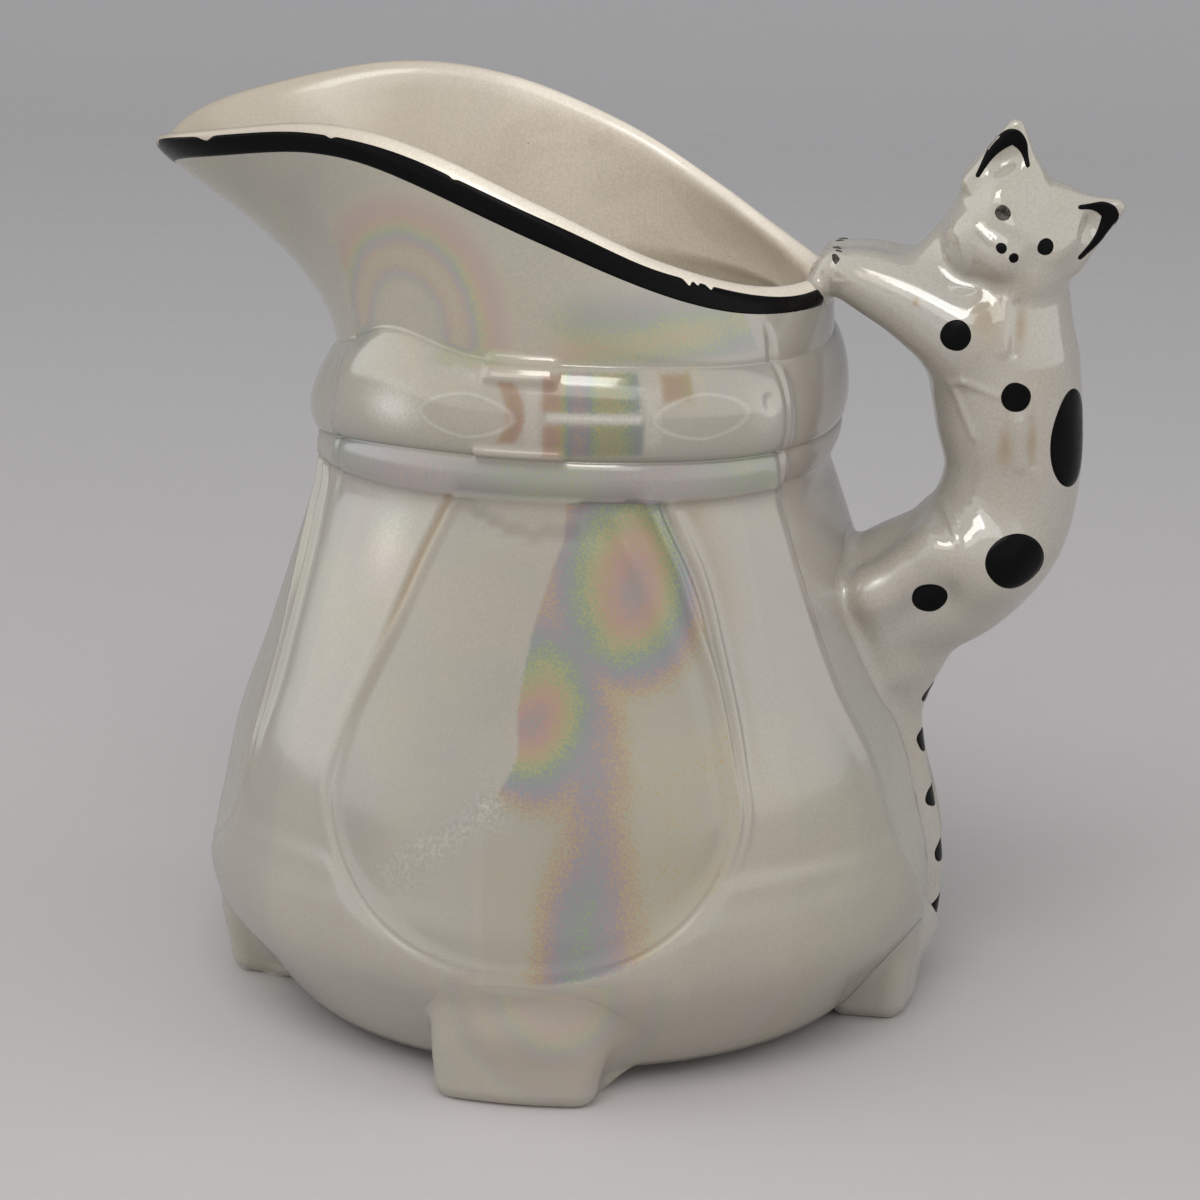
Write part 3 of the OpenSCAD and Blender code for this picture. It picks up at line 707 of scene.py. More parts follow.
# Painted highlights on the belt: (first angle, last angle, lowest, highest, level)
BELT_LIGHTS = ((267.8, 271.8, 79.2, 86.6, 0.12), (272.6, 292.0, 82.35, 83.4, 0.5),
               (291.8, 296.0, 79.2, 86.2, 0.14))
# Soft painted highlights on the belt: (angle, height, half angle, half height, level)
BELT_GLOWS = ((239, 82.4, 6, 2.1, 0.85), (319, 82, 4, 2.6, 0.3))
# Almond-shaped painted reflections on the belt: (middle angle, half angle), their height and half height
ALMONDS = ((256.0, 10.0), (304.2, 10.2))
ALMOND_Z, ALMOND_TALL = 82.6, 2.6
FAR_FROM_ALMOND = 3.0
# The front, where the film is painted: its angle, and the y and x that it stays below
FRONT_A, FRONT_Y, FRONT_X = 270, -20, 32
# The heights between which the front counts as belt, and where the neck begins
BELTED_LOW, BELTED_TOP, NECK_LOW = 77, 90, 88
# The film's arcs on the neck and on the front foot, by their centres
NECK_ARCS_A, NECK_ARCS_Z = 238.0, 91.0
FOOT_ARCS_X, FOOT_ARCS_Z = 5.0, 17.0
# The painted slanting sheen on the neck: a place that it passes through, and its slope
SHEEN_X, SHEEN_Z, SHEEN_RISE = 16.0, 91.6, 0.13
# A painted coloured highlight on the left pillar: (angle, height, half angle, half height)
PILLAR_GLOW = (238.5, 65.5, 4.5, 4.2)
# The painted glint on the panel: where it starts and how far it runs, along x and z
GLINT_START, GLINT_RUN = (-15.5, 28.0), (12.0, 10.0)


def within(v, low, high, edge):
    """1 between two bounds, fading over an edge inside them."""
    return soft((v - low) / edge) * soft((high - v) / edge)


def front_film(x, z):
    """How thick the film lies on the front panel, from 0 to about 1."""
    x, z = x + 1.5 * ripple(x / 4.2, z / 5.1, 4), z + 2.2 * ripple(x / 4.6, z / 4.4, 9)
    thick = curve(RIDGE_HIGH, z) - 0.06 * (np.sqrt((x - curve(FILM_RIDGE, z)) ** 2 + 1) - 1)
    for at_x, at_z, wide, tall in FILM_PEAKS:
        thick = rounder_max(thick, 1.08 - np.hypot(x - at_x, (z - at_z) / tall) / wide, 0.12)
    return clamp(thick)


def as_edge(d):
    """A distance inside a bound, in millimetres, as a number that is one half on the bound."""
    return clamp(0.5 + d / 3)


def belt_light(a, z):
    """Where the belt shows the film's colours, where painted highlights lie, and the way out of the almonds
    that are painted reflections.

    The last is 1 on an almond's outline.
    """
    patch = -9.0
    for first, last, low, high in BELT_PATCHES:
        across = np.minimum(a - first, last - a) * BELT_ARC
        patch = np.maximum(patch, np.minimum(across, np.minimum(z - low, high - z)))
    bow = (1.9 - np.abs(a - 266.6 + 2.6 * ((z - 83) / 3.6) ** 2)) * BELT_ARC
    patch = np.maximum(patch, np.minimum(bow, 3.6 - np.abs(z - 83.2)))
    # Painted highlights: soft glows, held back inside the almonds, and pale strips
    painted_highlight = 0
    for at_a, at_z, wide, tall, level in BELT_GLOWS:
        painted_highlight = painted_highlight + level * bell((a - at_a) / wide) * bell((z - at_z) / tall)
    almond = FAR_FROM_ALMOND
    for middle, half in ALMONDS:
        across, up = np.abs((a - middle) / half), np.abs((z - ALMOND_Z) / ALMOND_TALL)
        almond = np.minimum(almond, np.sqrt(across ** 1.5 + up ** 1.8))
    painted_highlight = painted_highlight * soft((almond - 0.9) / 0.2)
    for first, last, low, high, level in BELT_LIGHTS:
        painted_highlight = np.maximum(painted_highlight, level * within(a, first, last, 0.9) * within(z, low, high, 0.4))
    return as_edge(patch), clamp(painted_highlight), almond


def film_layers(x, z, a, front, belted, patch):
    """The film around the panel, place by place: where it lies, how thick and how strongly it tints."""
    arcs = np.hypot((a - NECK_ARCS_A) * BELT_ARC, (z - NECK_ARCS_Z) * 0.9)
    arch = soft((17 - arcs) / 5) * soft((arcs - 4) / 3) * (z > NECK_LOW) * front
    yield (arch > 0.02) & ~belted, 0.5 + 0.4 * np.sin(arcs / 1.7), 0.5 * arch
    sheen = front * soft((x + 2) / 8) * soft((z - NECK_LOW) / 1.5) * soft((99 - z) / 5) * soft((29 - x) / 4)
    rise = z - SHEEN_Z - SHEEN_RISE * (x - SHEEN_X)
    yield sheen > 0.02, 0.36 + 0.26 * bell(rise / 2.2) + 0.12 * soft((10 - x) / 10), 0.6 * sheen
    band = front * within(z, BAND_LOW, BELT_LOW, 1)
    yield band > 0.1, 0.38 + 0.08 * np.sin(np.radians(7 * a)), 0.6 * band
    arcs = np.hypot(x - FOOT_ARCS_X, (z - FOOT_ARCS_Z) * 0.8)
    on_foot = front * soft((16 - arcs) / 6) * (z < 17.5)
    yield (on_foot > 0.02) & (patch <= 0), 0.5 + 0.4 * np.sin(arcs / 2.1), 0.26 * on_foot
    glow = pillar_glow(a, z, front)
    yield glow > 0.15, clamp(0.3 + (71 - z) / 14), 0.7 * glow


def pillar_glow(a, z, front):
    at_a, at_z, wide, tall = PILLAR_GLOW
    return front * bell((a - at_a) / wide) * bell((z - at_z) / tall)


def glint(x, z):
    """The painted glint on the panel, uneven along its length."""
    share, off = beside(x, z, GLINT_START, GLINT_RUN)
    wide = 2.2 + 0.9 * ripple(x / 2.4, z / 2.0, 7)
    return bell(off / wide) * (0.6 + 0.4 * share) * soft(0.7 + 0.7 * ripple(x / 2.6, z / 1.9, 6))


def glaze_parts(points, **more):
    """What the glaze needs to know at each point of a piece."""
    x, y, z = points.T
    a = np.degrees(np.arctan2(y, x)) % 360
    front = (y < FRONT_Y) & (x < FRONT_X)
    film = clamp(0.47 + 0.13 * ripple(a / 16, z / 12, 1) + 0.1 * ripple(a / 34, z / 30, 5))
    tint = 0.12 + 0.2 * soft(ripple(a / 21, z / 16, 2) + 0.1)
    inner = panel_inside(a, z)
    panel = front & (np.abs(a - FRONT_A) < 45) & (z < BAND_LOW + 0.6)
    patch = as_edge(np.minimum(x - curve(FILM_LEFT, z), inner + 0.2)) * panel
    film = np.where(patch > 0, front_film(x, z), film)
    tint = np.where(panel, 0.35 * tint, tint)
    belted = front & (z > BELTED_LOW) & (z < BELTED_TOP)
    on_belt, belt_shine, almond = belt_light(a, z)
    film = np.where(belted & (on_belt > 0), curve(BELT_FILM, a), film)
    patch = np.where(belted, on_belt, patch)
    for where, thick, strength in film_layers(x, z, a, front, belted, patch):
        film = np.where(where, thick, film)
        tint = np.maximum(tint, strength)
    groove = panel * (a < FRONT_A) * bell((inner + 0.4) / 0.5) * soft((z - 50) / 12)
    streak = panel * (a > FRONT_A) * bell((inner + 4) / 1.6) * soft((z - 54) / 8)
    # A painted highlight: the hollow behind the tail is made paler
    hollow = 0.16 * soft(hollow_inside(a, z) / 2 + 0.5) * (turn(a) < 45) * (z < BAND_LOW)
    # Painted highlights on the belt and on the left pillar
    painted_highlight = np.maximum(belted * belt_shine, 0.55 * pillar_glow(a, z, front))
    # Painted shade: darker in the belt's patches, as dark reflections, and inside the panel
    painted_shade = np.where(belted, 0.42 * soft(on_belt * 2 - 0.6), 0.2 * panel * soft(inner / 2))
    parts = {"film": film, "tint": tint, "patch": patch, "painted_highlight": np.maximum(painted_highlight, hollow), "painted_shade": painted_shade,
             "almond": np.where(belted, almond, FAR_FROM_ALMOND), "painted_glint": 0.24 * front * glint(x, z),
             "stain_and_reflection": 0.55 * groove + 0.22 * streak, "inside": np.zeros(len(points)),
             # Painted shade inside towards the spout, above z 80
             "wear_and_shade": soft((turn(a) - 105) / 50) * (z > 80), "bare": soft((0.55 - z) / 0.25),
             "satin": np.where(x < 45, 0.35 + 0.65 * soft((BELT_LOW - z) / 4), 0)}
    parts.update(more)
    return parts


rows, inside = jug_rows()
skin = rows.reshape(-1, 3)
parts = glaze_parts(skin, inside=inside.ravel())
parts["satin"] = np.maximum(parts["satin"], INSIDE_SATIN * parts["inside"])
faces = grid_faces(len(rows), COLUMNS, True)
mesh_piece("jug_skin", skin, faces, ("jug_body",), glaze, parts)

# Pieces modelled as fields: a signed distance in millimetres, melted into the wall where they touch it

# Cells along a block's side, how near a block's middle the surface can be, and how much is worked out at once
FIELD_BLOCK, BLOCK_REACH, BLOCKS_AT_ONCE, POINTS_AT_ONCE = 8, 1.3, 300, 4000
# How far from a piece its fillet can reach, and how far off the wall its points have to stand to be kept
FILLET_REACH, FILLET_LEAST = 6.0, 0.004
# How near to a limb its cones and then its smooth curve are worked out, the rounds that find a place on the
# curve, and how near to the cat the wall is worked out
CHAIN_REACH, CURVE_REACH, CURVE_ROUNDS, WALL_REACH = 12.0, 3.0, 7, 7.0
CORNERS = np.array([(i, j, k) for i in (0, 1) for j in (0, 1) for k in (0, 1)])
EDGES = [(a, b) for a in range(8) for b in range(a + 1, 8) if np.abs(CORNERS[a] - CORNERS[b]).sum() == 1]
AXES = np.eye(3, dtype=int)


def sampled(field, low, high, cell):
    """A field's values on a grid, worked out in full only in the blocks that its surface can cross."""
    block = FIELD_BLOCK * cell
    count = np.ceil((high - low) / block).astype(int)
    middles = np.stack(np.meshgrid(*[np.arange(n) + 0.5 for n in count], indexing="ij"), -1) * block + low
    coarse = field(middles)
    values = np.sign(coarse) * block
    for axis in range(3):
        values = np.repeat(values, FIELD_BLOCK, axis)
    values = np.pad(values, (0, 1), "edge")
    step = np.arange(FIELD_BLOCK + 1)
    offsets = np.stack(np.meshgrid(step, step, step, indexing="ij"), -1).reshape(-1, 3)
    near = np.argwhere(np.abs(coarse) < BLOCK_REACH * block)
    near = near[np.argsort(near[:, 2], kind="stable")]
    for some in np.array_split(near, max(len(near) // BLOCKS_AT_ONCE, 1)):
        at = some[:, None] * FIELD_BLOCK + offsets
        values[at[..., 0], at[..., 1], at[..., 2]] = field(at * cell + low)
    return values


def surface(field, low, high, cell):
    """A mesh of a field's surface: one point in each cell that it crosses, settled onto it."""
    low, high = np.array(low, float), np.array(high, float)
    values = sampled(field, low, high, cell)
    solid = values < 0
    nx, ny, nz = np.array(solid.shape) - 1
    count = sum(solid[i:nx + i, j:ny + j, k:nz + k].astype(int) for i, j, k in CORNERS)
    crossed = (count > 0) & (count < 8)
    cells = np.argwhere(crossed)
    number = np.full(crossed.shape, -1)
    number[crossed] = np.arange(len(cells))
    corner = [values[tuple((cells + c).T)] for c in CORNERS]
    total, hits = np.zeros((len(cells), 3)), np.zeros(len(cells))
    for a, b in EDGES:
        change = (corner[a] < 0) != (corner[b] < 0)
        t = np.where(change, corner[a] / np.where(change, corner[a] - corner[b], 1), 0)
        total += change[:, None] * (CORNERS[a] + t[:, None] * (CORNERS[b] - CORNERS[a]))
        hits += change
    points = (cells + total / hits[:, None]) * cell + low
    faces = []
    for axis in range(3):
        u, v = AXES[(axis + 1) % 3], AXES[(axis + 2) % 3]
        ahead = np.roll(solid, -1, axis)
        at = np.argwhere(solid != ahead)
        fits = (at > 0).all(1) & (at < np.array(crossed.shape)).all(1)
        at = at[fits]
        around = ((1, 1), (0, 1), (0, 0), (1, 0))
        quad = np.stack([number[tuple((at - s * u - t * v).T)] for s, t in around], -1)
        outward = solid[tuple(at.T)]
        faces.append(np.where(outward[:, None], quad, quad[:, ::-1]))
    faces = np.concatenate(faces)
    upward = np.argsort(points[:, 2], kind="stable")
    for some in np.array_split(upward, len(upward) // POINTS_AT_ONCE + 1):
        points[some] = settle(field, points[some])
    return points, faces[(faces >= 0).all(1)]


def kept(points, faces, keep):
    """The part of a mesh whose points are all kept."""
    faces = faces[keep[faces].all(1)]
    used = np.unique(faces)
    number = np.zeros(len(points), int)
    number[used] = np.arange(len(used))
    return points[used], number[faces]


def melted(field, alone, low, high, cell):
    """The surface of a piece where it stands out from the jug's wall, with the fillet that joins them."""
    points, faces = surface(lambda p: np.maximum(field(p), alone(p) - FILLET_REACH), low, high, cell)
    return kept(points, faces, wall_field(points) - field(points) > FILLET_LEAST)


def egg(p, middle, radii):
    """Distance to an ellipsoid."""
    q = (p - np.array(middle)) / np.array(radii)
    far = np.sqrt((q * q).sum(-1)) + 1e-9
    near = q / np.array(radii)
    return far * (far - 1) / (np.sqrt((near * near).sum(-1)) + 1e-9)


def cone(p, a, b):
    """Distance to two balls (x, y, z, radius) and the cone between them."""
    sx, sy, sz, swell = b - a
    x, y, z = p[..., 0] - a[0], p[..., 1] - a[1], p[..., 2] - a[2]
    t = clamp((x * sx + y * sy + z * sz) / (sx * sx + sy * sy + sz * sz))
    return np.sqrt((x - t * sx) ** 2 + (y - t * sy) ** 2 + (z - t * sz) ** 2) - a[3] - swell * t


def along(line, u):
    """Places (x, y, z, radius) on a smooth curve through a limb's points, and the way on from each."""
    slope = np.gradient(line, axis=0)
    i = np.clip(u.astype(int), 0, len(line) - 2)
    t = (u - i)[..., None]
    start, end, leave, arrive = line[i], line[i + 1], slope[i], slope[i + 1]
    seat = (1 + 2 * t) * (1 - t) ** 2 * start + t ** 2 * (3 - 2 * t) * end
    seat += t * (1 - t) ** 2 * leave + t ** 2 * (t - 1) * arrive
    way = 6 * t * (t - 1) * (start - end) + (1 - t) * (1 - 3 * t) * leave + t * (3 * t - 2) * arrive
    return seat, way


def limb(points, steps):
    """A limb through points (x, y, z, radius), with balls along it that find the nearest stretch."""
    line = np.array(points, float)
    return line, along(line, np.linspace(0, len(line) - 1, steps + 1))[0]


def chain(p, limb):
    """Distance to a limb: first to the cones between its balls, then near it to the smooth curve itself."""
    line, balls = limb
    low, high = p[..., 2].min() - CHAIN_REACH, p[..., 2].max() + CHAIN_REACH
    nearest = np.full(p.shape[:-1], 2 * CHAIN_REACH)
    which = np.zeros(p.shape[:-1], int)
    for i, (a, b) in enumerate(zip(balls, balls[1:])):
        if max(a[2] + a[3], b[2] + b[3]) > low and min(a[2] - a[3], b[2] - b[3]) < high:
            far = cone(p, a, b)
            which = np.where(far < nearest, i, which)
            nearest = np.minimum(nearest, far)
    close = nearest < CURVE_REACH
    if close.any():
        q, i = p[close], which[close]
        start, run = balls[i, :3], (balls[1:] - balls[:-1])[i, :3]
        share = clamp(((q - start) * run).sum(-1) / (run * run).sum(-1))
        u = (i + share) * (len(line) - 1) / (len(balls) - 1)
        for _ in range(CURVE_ROUNDS):
            seat, way = along(line, u)
            step = ((q - seat[:, :3]) * way[:, :3]).sum(-1) / (way[:, :3] ** 2).sum(-1)
            u = np.clip(u + step, 0, len(line) - 1)
        seat = along(line, u)[0]
        nearest[close] = np.linalg.norm(q - seat[:, :3], axis=-1) - seat[:, 3]
    return nearest


# The feet

FOOT_HALF, FOOT_IN, FOOT_ROUND = 10.4, 33.5, 2.2
FOOT_ASIDE, FOOT_TOP = -0.5, 18.0
# How much wider the fillet gets towards a foot's softer side, and how wide the join over its face is
FOOT_FILLET, FOOT_OVER = 4.2, 1.1
# The space that a foot is looked for in: its middle's way out, half sizes out and along, lowest and highest
FOOT_MIDDLE, SPACE_OUT, SPACE_ALONG, SPACE_LOW, SPACE_TOP = 41.5, 11.0, 17.0, -0.6, 19.0
FOOT_CELL, CAT_CELL = 0.3, 0.32
# The swell of the belly over a foot: its middle (out, aside, z) and half sizes
BROW_AT, BROW_HALF = (36.4, 0.0, 10.5), (9.8, 11.0, 6.2)


def foot_fields(around, out_to, crease):
    """The field of the foot at an angle with the wall that it grows from, and of the foot alone."""
    out = outward(around)[:2]
    aside = np.array([-out[1], out[0]])

    def block(p):
        q, s, z = p[..., :2] @ out, p[..., :2] @ aside, p[..., 2]
        face = out_to + 0.04 * z - 0.012 * s * s
        across = np.abs(s - FOOT_ASIDE) - FOOT_HALF + 0.5 * soft(1 - z / 8)
        sides = np.stack([across, np.maximum(q - face, FOOT_IN - q), -z], -1) + FOOT_ROUND
        near = np.sqrt((np.maximum(sides, 0) ** 2).sum(-1)) + np.minimum(sides.max(-1), 0) - FOOT_ROUND
        return np.maximum(near, z - FOOT_TOP)

    def grown(p):
        s, z = p[..., :2] @ aside, p[..., 2]
        own = np.stack([p[..., :2] @ out, s, z], -1)
        belly = join(wall_field(p), egg(own, BROW_AT, BROW_HALF), 2.4)
        fillet = crease + FOOT_FILLET * soft((s + FOOT_HALF) / (2 * FOOT_HALF))
        on_face = soft((FOOT_HALF + 1 - np.abs(s - FOOT_ASIDE)) / 4)
        over = FOOT_OVER * soft((z - 7) / 5) * soft((20 - z) / 4) * on_face
        wide = 0.5 + np.maximum(fillet * soft((19 - z) / 12), over)
        return join(block(p), belly, np.minimum(wide, FILLET_REACH))

    return grown, block


# Each foot: its node, its angle, how far out its face is and how wide its sharper crease
FEET = (("foot_front", 270, 45.0, 0.9), ("foot_back", 90, 45.0, 0.9), ("foot_spout_side", 180, 45.0, 1.2),
        ("foot_handle_side", 0, 44.0, 1.2))
for name, around, out_to, crease in FEET:
    middle = FOOT_MIDDLE * outward(around)
    half = np.array([SPACE_OUT, SPACE_ALONG, 0] if around % 180 == 0 else [SPACE_ALONG, SPACE_OUT, 0])
    low, high = middle - half + (0, 0, SPACE_LOW), middle + half + (0, 0, SPACE_TOP)
    points, faces = melted(*foot_fields(around, out_to, crease), low, high, FOOT_CELL)
    mesh_piece(name + "_glazed", points, faces, (name,), glaze, glaze_parts(points))

# The cat

TORSO = limb(((53, 0, 94, 7), (52.2, 0, 86, 9.1), (53, 0, 78.5, 9.1), (53.8, 0, 70.5, 8.4), (52, 0, 63, 8.7),
              (47.2, 0, 57.4, 8.9), (41, 0, 53.8, 9.0), (36, 0, 51, 8.8)), 14)
FORELEG = limb(((47, 4.4, 88.6, 6), (41, 4.0, 91.8, 4.8), (36.6, 3.6, 93.6, 4.0), (33.6, 3.4, 94.6, 3.3),
                (31.8, 3.3, 95.2, 2.5)), 8)
HIND_LEG = limb(((51, 5.4, 60.5, 5.6), (46.8, 7.6, 61.6, 4.4), (43, 8.4, 59.6, 3.2), (40, 9, 57.6, 2.8),
                 (37.6, 9.4, 56.4, 2.6)), 8)
SHIN = limb(((37.9, 9.3, 55.6, 2.6), (38.4, 7.8, 51, 2.2), (39, 6, 45, 1.8)), 4)
TAIL = limb(((40.2, 0, 45, 5.4), (39.6, 0, 39, 4.2), (41, 0, 33, 3), (42.6, 0, 26.4, 2.7), (44, 0, 18.5, 2.5),
             (44.2, 0, 11.5, 2), (43.8, 0, 8.5, 1.3)), 14)
SCRUFF = limb(((51, -0.5, 102, 5.4), (48.4, 0, 98.4, 5.0), (45.4, 0, 94.6, 5.2), (42, 0, 92.4, 4.6)), 6)
HEAD_AT = np.array([52.9, -1.5, 100.6])
HEAD_TILT, HEAD_TURN = math.radians(38), math.radians(6)
EAR_TIP, EAR_INNER, EAR_OUTER = (7.8, 10.0), (3.2, 7.2), (7.8, 1.8)
HEAD_FRAME = np.array(Matrix.Rotation(HEAD_TILT, 3, "Y") @ Matrix.Rotation(HEAD_TURN, 3, "Z"))


def to_head(p):
    """Places in the head's own frame: x across the face, y behind it, z up through the crown."""
    return (p - HEAD_AT) @ HEAD_FRAME


def from_head(q):
    return np.asarray(q, float) @ HEAD_FRAME.T + HEAD_AT


def triangle(x, z, corners):
    """Distance to a triangle in a plane, negative inside it."""
    inside = np.full(np.shape(x), -np.inf)
    nearest = np.full(np.shape(x), np.inf)
    for (ax, az), (bx, bz) in zip(corners, corners[1:] + corners[:1]):
        ex, ez = bx - ax, bz - az
        nearest = np.minimum(nearest, beside(x, z, (ax, az), (ex, ez))[1])
        inside = np.maximum(inside, ((z - az) * ex - (x - ax) * ez) / math.hypot(ex, ez))
    return np.where(inside < 0, -nearest, nearest)


def ear(q):
    """An ear: a rounded triangular flap, dished in front."""
    flat = triangle(q[..., 0], q[..., 2], (EAR_INNER, EAR_TIP, EAR_OUTER)) - 0.3
    thick = 2.2 - 1.3 * clamp((q[..., 2] - 3) / 7.5)
    deep = np.abs(q[..., 1] - 0.2 + 0.06 * q[..., 2]) - thick + 0.8
    flap = np.hypot(np.maximum(flat, 0), np.maximum(deep, 0)) + np.minimum(np.maximum(flat, deep), 0) - 0.8
    dish = egg(q, (6.2, -3.0, 6.3), (1.9, 2.2, 3.0))
    return rounder_max(flap, -dish, 0.8)


def head_field(p):
    """The head: skull, cheeks, brow and muzzle, with a flat forehead, dented eyes and ears."""
    own = to_head(p)
    q = own.copy()
    q[..., 0] = np.abs(own[..., 0])
    skull = egg(own, (0.8, 0.6, 0.1), (7.8, 6.9, 7.7))
    right_cheek = egg(own, (4.0, -2.2, -2.7), (4.5, 4.4, 4.8))
    left_cheek = egg(own, (-2.6, -2.2, -2.7), (4.3, 4.4, 4.8))
    cheek = join(right_cheek, left_cheek, 1.5)
    muzzle = egg(q, (0, -5.4, -2.2), (2.8, 2.5, 2.6))
    brow = egg(q, (1.8, -3.2, 2.9), (4.2, 4.0, 3.6))
    face = join(join(skull, cheek, 2), brow, 2)
    face = join(face, muzzle, 1.6)
    forehead = q @ np.array([0, -0.74, 0.67]) - 6.3
    face = rounder_max(face, forehead, 1.2)
    face = face + 0.35 * bell(np.hypot(q[..., 0] - 3.3, q[..., 2] - 1.9) / 1.7) * (q[..., 1] < 0)
    return join(face, ear(q), 3)


# Folds moulded on the near side: (first x, z, last x, z, half width, height)
FOLDS = ((52.8, 93.0, 52.9, 87.4, 0.8, 0.4), (54.2, 92.8, 54.0, 87.0, 0.5, -0.3),
         (54.9, 78.6, 55.3, 73.0, 0.8, 0.35), (56.4, 78.6, 56.8, 73.0, 0.5, -0.25),
         (46.4, 82.7, 48.1, 83.2, 0.5, 0.22), (48.1, 83.2, 52.4, 81.8, 0.5, 0.22),
         (46.9, 81.8, 49.4, 76.3, 0.5, 0.22), (48.6, 102.4, 50.8, 100.7, 0.5, 0.25),
         (46.9, 100.9, 48.1, 96.6, 0.5, 0.22))
# The bounds of all the folds: least x, greatest x, lowest, highest
FOLD_BOX = (45.0, 59.0, 71.0, 104.0)


def folds_at(p):
    """How far the cat's near side is raised by its folds."""
    x, z = p[..., 0], p[..., 2]
    raised = np.zeros(x.shape)
    left, right, low, high = FOLD_BOX
    near = (p[..., 1] < -3) & (x > left) & (x < right) & (z > low) & (z < high)
    x, z = x[near], z[near]
    total = np.zeros(x.shape)
    for ax, az, bx, bz, wide, high in FOLDS:
        off = beside(x, z, (ax, az), (bx - ax, bz - az))[1]
        total += fold(off, (high, wide))
    raised[near] = total
    return raised


# How softly the paired legs meet on the cat's middle line
MIDDLE_SOFT = 2.0


def cat_field(p):
    """The whole cat, without the jug."""
    both = p.copy()
    both[..., 1] = np.hypot(p[..., 1], MIDDLE_SOFT)
    body = join(chain(p, TORSO), chain(both, HIND_LEG), 3.2)
    body = join(body, chain(both, SHIN), 2.5)
    body = join(body, chain(both, FORELEG), 3)
    body = join(body, chain(p, TAIL), 4)
    body = join(body, chain(p, SCRUFF), 2.5)
    return join(body, head_field(p), 1.0) - folds_at(p)


# Ochre on the cat: stains in the crazed glaze and a rust speck, and brown painted reflections beside the
# chest and belly folds: (x, z, half width, half height, strength)
STAINS_AND_REFLECTIONS = ((50.4, 90.8, 1.9, 2.9, 0.5), (54.7, 90.2, 0.7, 3.0, 0.5), (53.4, 75.6, 0.9, 2.9, 0.6),
          (56.6, 76, 0.5, 3.0, 0.5), (42.1, 92.8, 0.35, 0.45, 0.9), (57.6, 84, 1.6, 4, 0.1),
          (52, 96, 3, 1.2, 0.2))
# CAT_SHINE: a painted highlight, pale light mixed evenly over the whole cat
CAT_TINT, CAT_SHINE = 0.06, 0.18


def stains_and_reflections_at(points):
    """How strongly the cat is stained at each point, with brown painted reflections on the chest and belly.
    """
    x, y, z = points.T
    stain_and_reflection = 0.1 * soft(ripple(x / 3.1, z / 4.3, 3) - 0.2)
    for at_x, at_z, wide, tall, strength in STAINS_AND_REFLECTIONS:
        uneven = 1 + 0.25 * ripple(x / 0.9, z / 0.9, 8)
        stain_and_reflection = stain_and_reflection + strength * bell(np.hypot((x - at_x) / wide, (z - at_z) / tall) * uneven) * (y < 0)
    return stain_and_reflection


def figure_field(p):
    """The cat melted into the jug's wall, which is left out far from it."""
    wall = np.full(p.shape[:-1], WALL_REACH)
    near = np.hypot(p[..., 0], p[..., 1]) < curve(BODY_PROFILE, p[..., 2]) + WALL_REACH
    wall[near] = wall_field(p[near])
    return join(cat_field(p), wall, 2.2)


CAT_LOW, CAT_HIGH = (23.5, -15, 4), (65, 15, 117)
CAT_NODES = ("cat_torso", "cat_head", "cat_ear_left", "cat_ear_right", "cat_foreleg_left",
             "cat_foreleg_right", "cat_hind_leg_left", "cat_hind_leg_right", "cat_tail")
points, faces = melted(figure_field, cat_field, CAT_LOW, CAT_HIGH, CAT_CELL)
own_glaze = {"stain_and_reflection": stains_and_reflections_at(points), "tint": np.full(len(points), CAT_TINT),
             "painted_highlight": np.full(len(points), CAT_SHINE)}
mesh_piece("cat_glazed", points, faces, CAT_NODES, glaze, glaze_parts(points, **own_glaze))

# The black enamel: thin skins that follow the glaze, with the uneven edges of brush work

# How high enamel stands, how high it is beside its edge, and how deep its edge is sunk
ENAMEL, THIN, SUNK = 0.06, 0.03, 0.05
# Enamel is dropped on from afar, in rounds that each go this share of the way that is free
DROP_ROUNDS, DROP_SHARE = 24, 0.95
# How far off dabs start: beside the cat, behind its back, in front of its face, and along x for the tail
SIDE_FROM, BACK_FROM, FACE_FROM, TAIL_FROM = 20, 16, 18, 58


def drop_on(field, p, direction, reach=22.0):
    """Moves points along a direction onto a field's surface; those that miss it bend to the nearest place."""
    direction = np.array(direction, float)
    gone = np.zeros(p.shape[:-1])
    for _ in range(DROP_ROUNDS):
        gone = np.minimum(gone + DROP_SHARE * field(p + gone[..., None] * direction), reach)
    return settle(field, p + gone[..., None] * direction, 3)


def laid(field, points, height):
    """Lifts points that lie on a surface off it by a height."""
    g = gradient(field, points)
    return points + np.asarray(height)[..., None] * g / np.linalg.norm(g, axis=-1, keepdims=True)


def disc(seed, rough, rings=7, sides=44):
    """A round patch with an uneven edge, as places (u, v) in a unit circle, and how high each stands."""
    share = np.append(np.linspace(0, 1, rings) ** 0.8, 1.02)
    angle = np.arange(sides) * 2 * math.pi / sides
    edge = 1 + rough * ripple(3 * np.cos(angle), 3 * np.sin(angle), seed)
    u = share[:, None] * (edge * np.cos(angle))
    v = share[:, None] * (edge * np.sin(angle))
    high = np.array([ENAMEL] * (rings - 1) + [THIN, -SUNK])
    return u, v, np.broadcast_to(high[:, None], u.shape)


def brushed(shape):
    """How high the enamel of a stroke stands over a grid that runs along it."""
    high = np.full(shape, ENAMEL)
    high[:, [1, -2]] = THIN
    high[:, [0, -1]] = -SUNK
    high[[0, -1]] = -SUNK
    return high


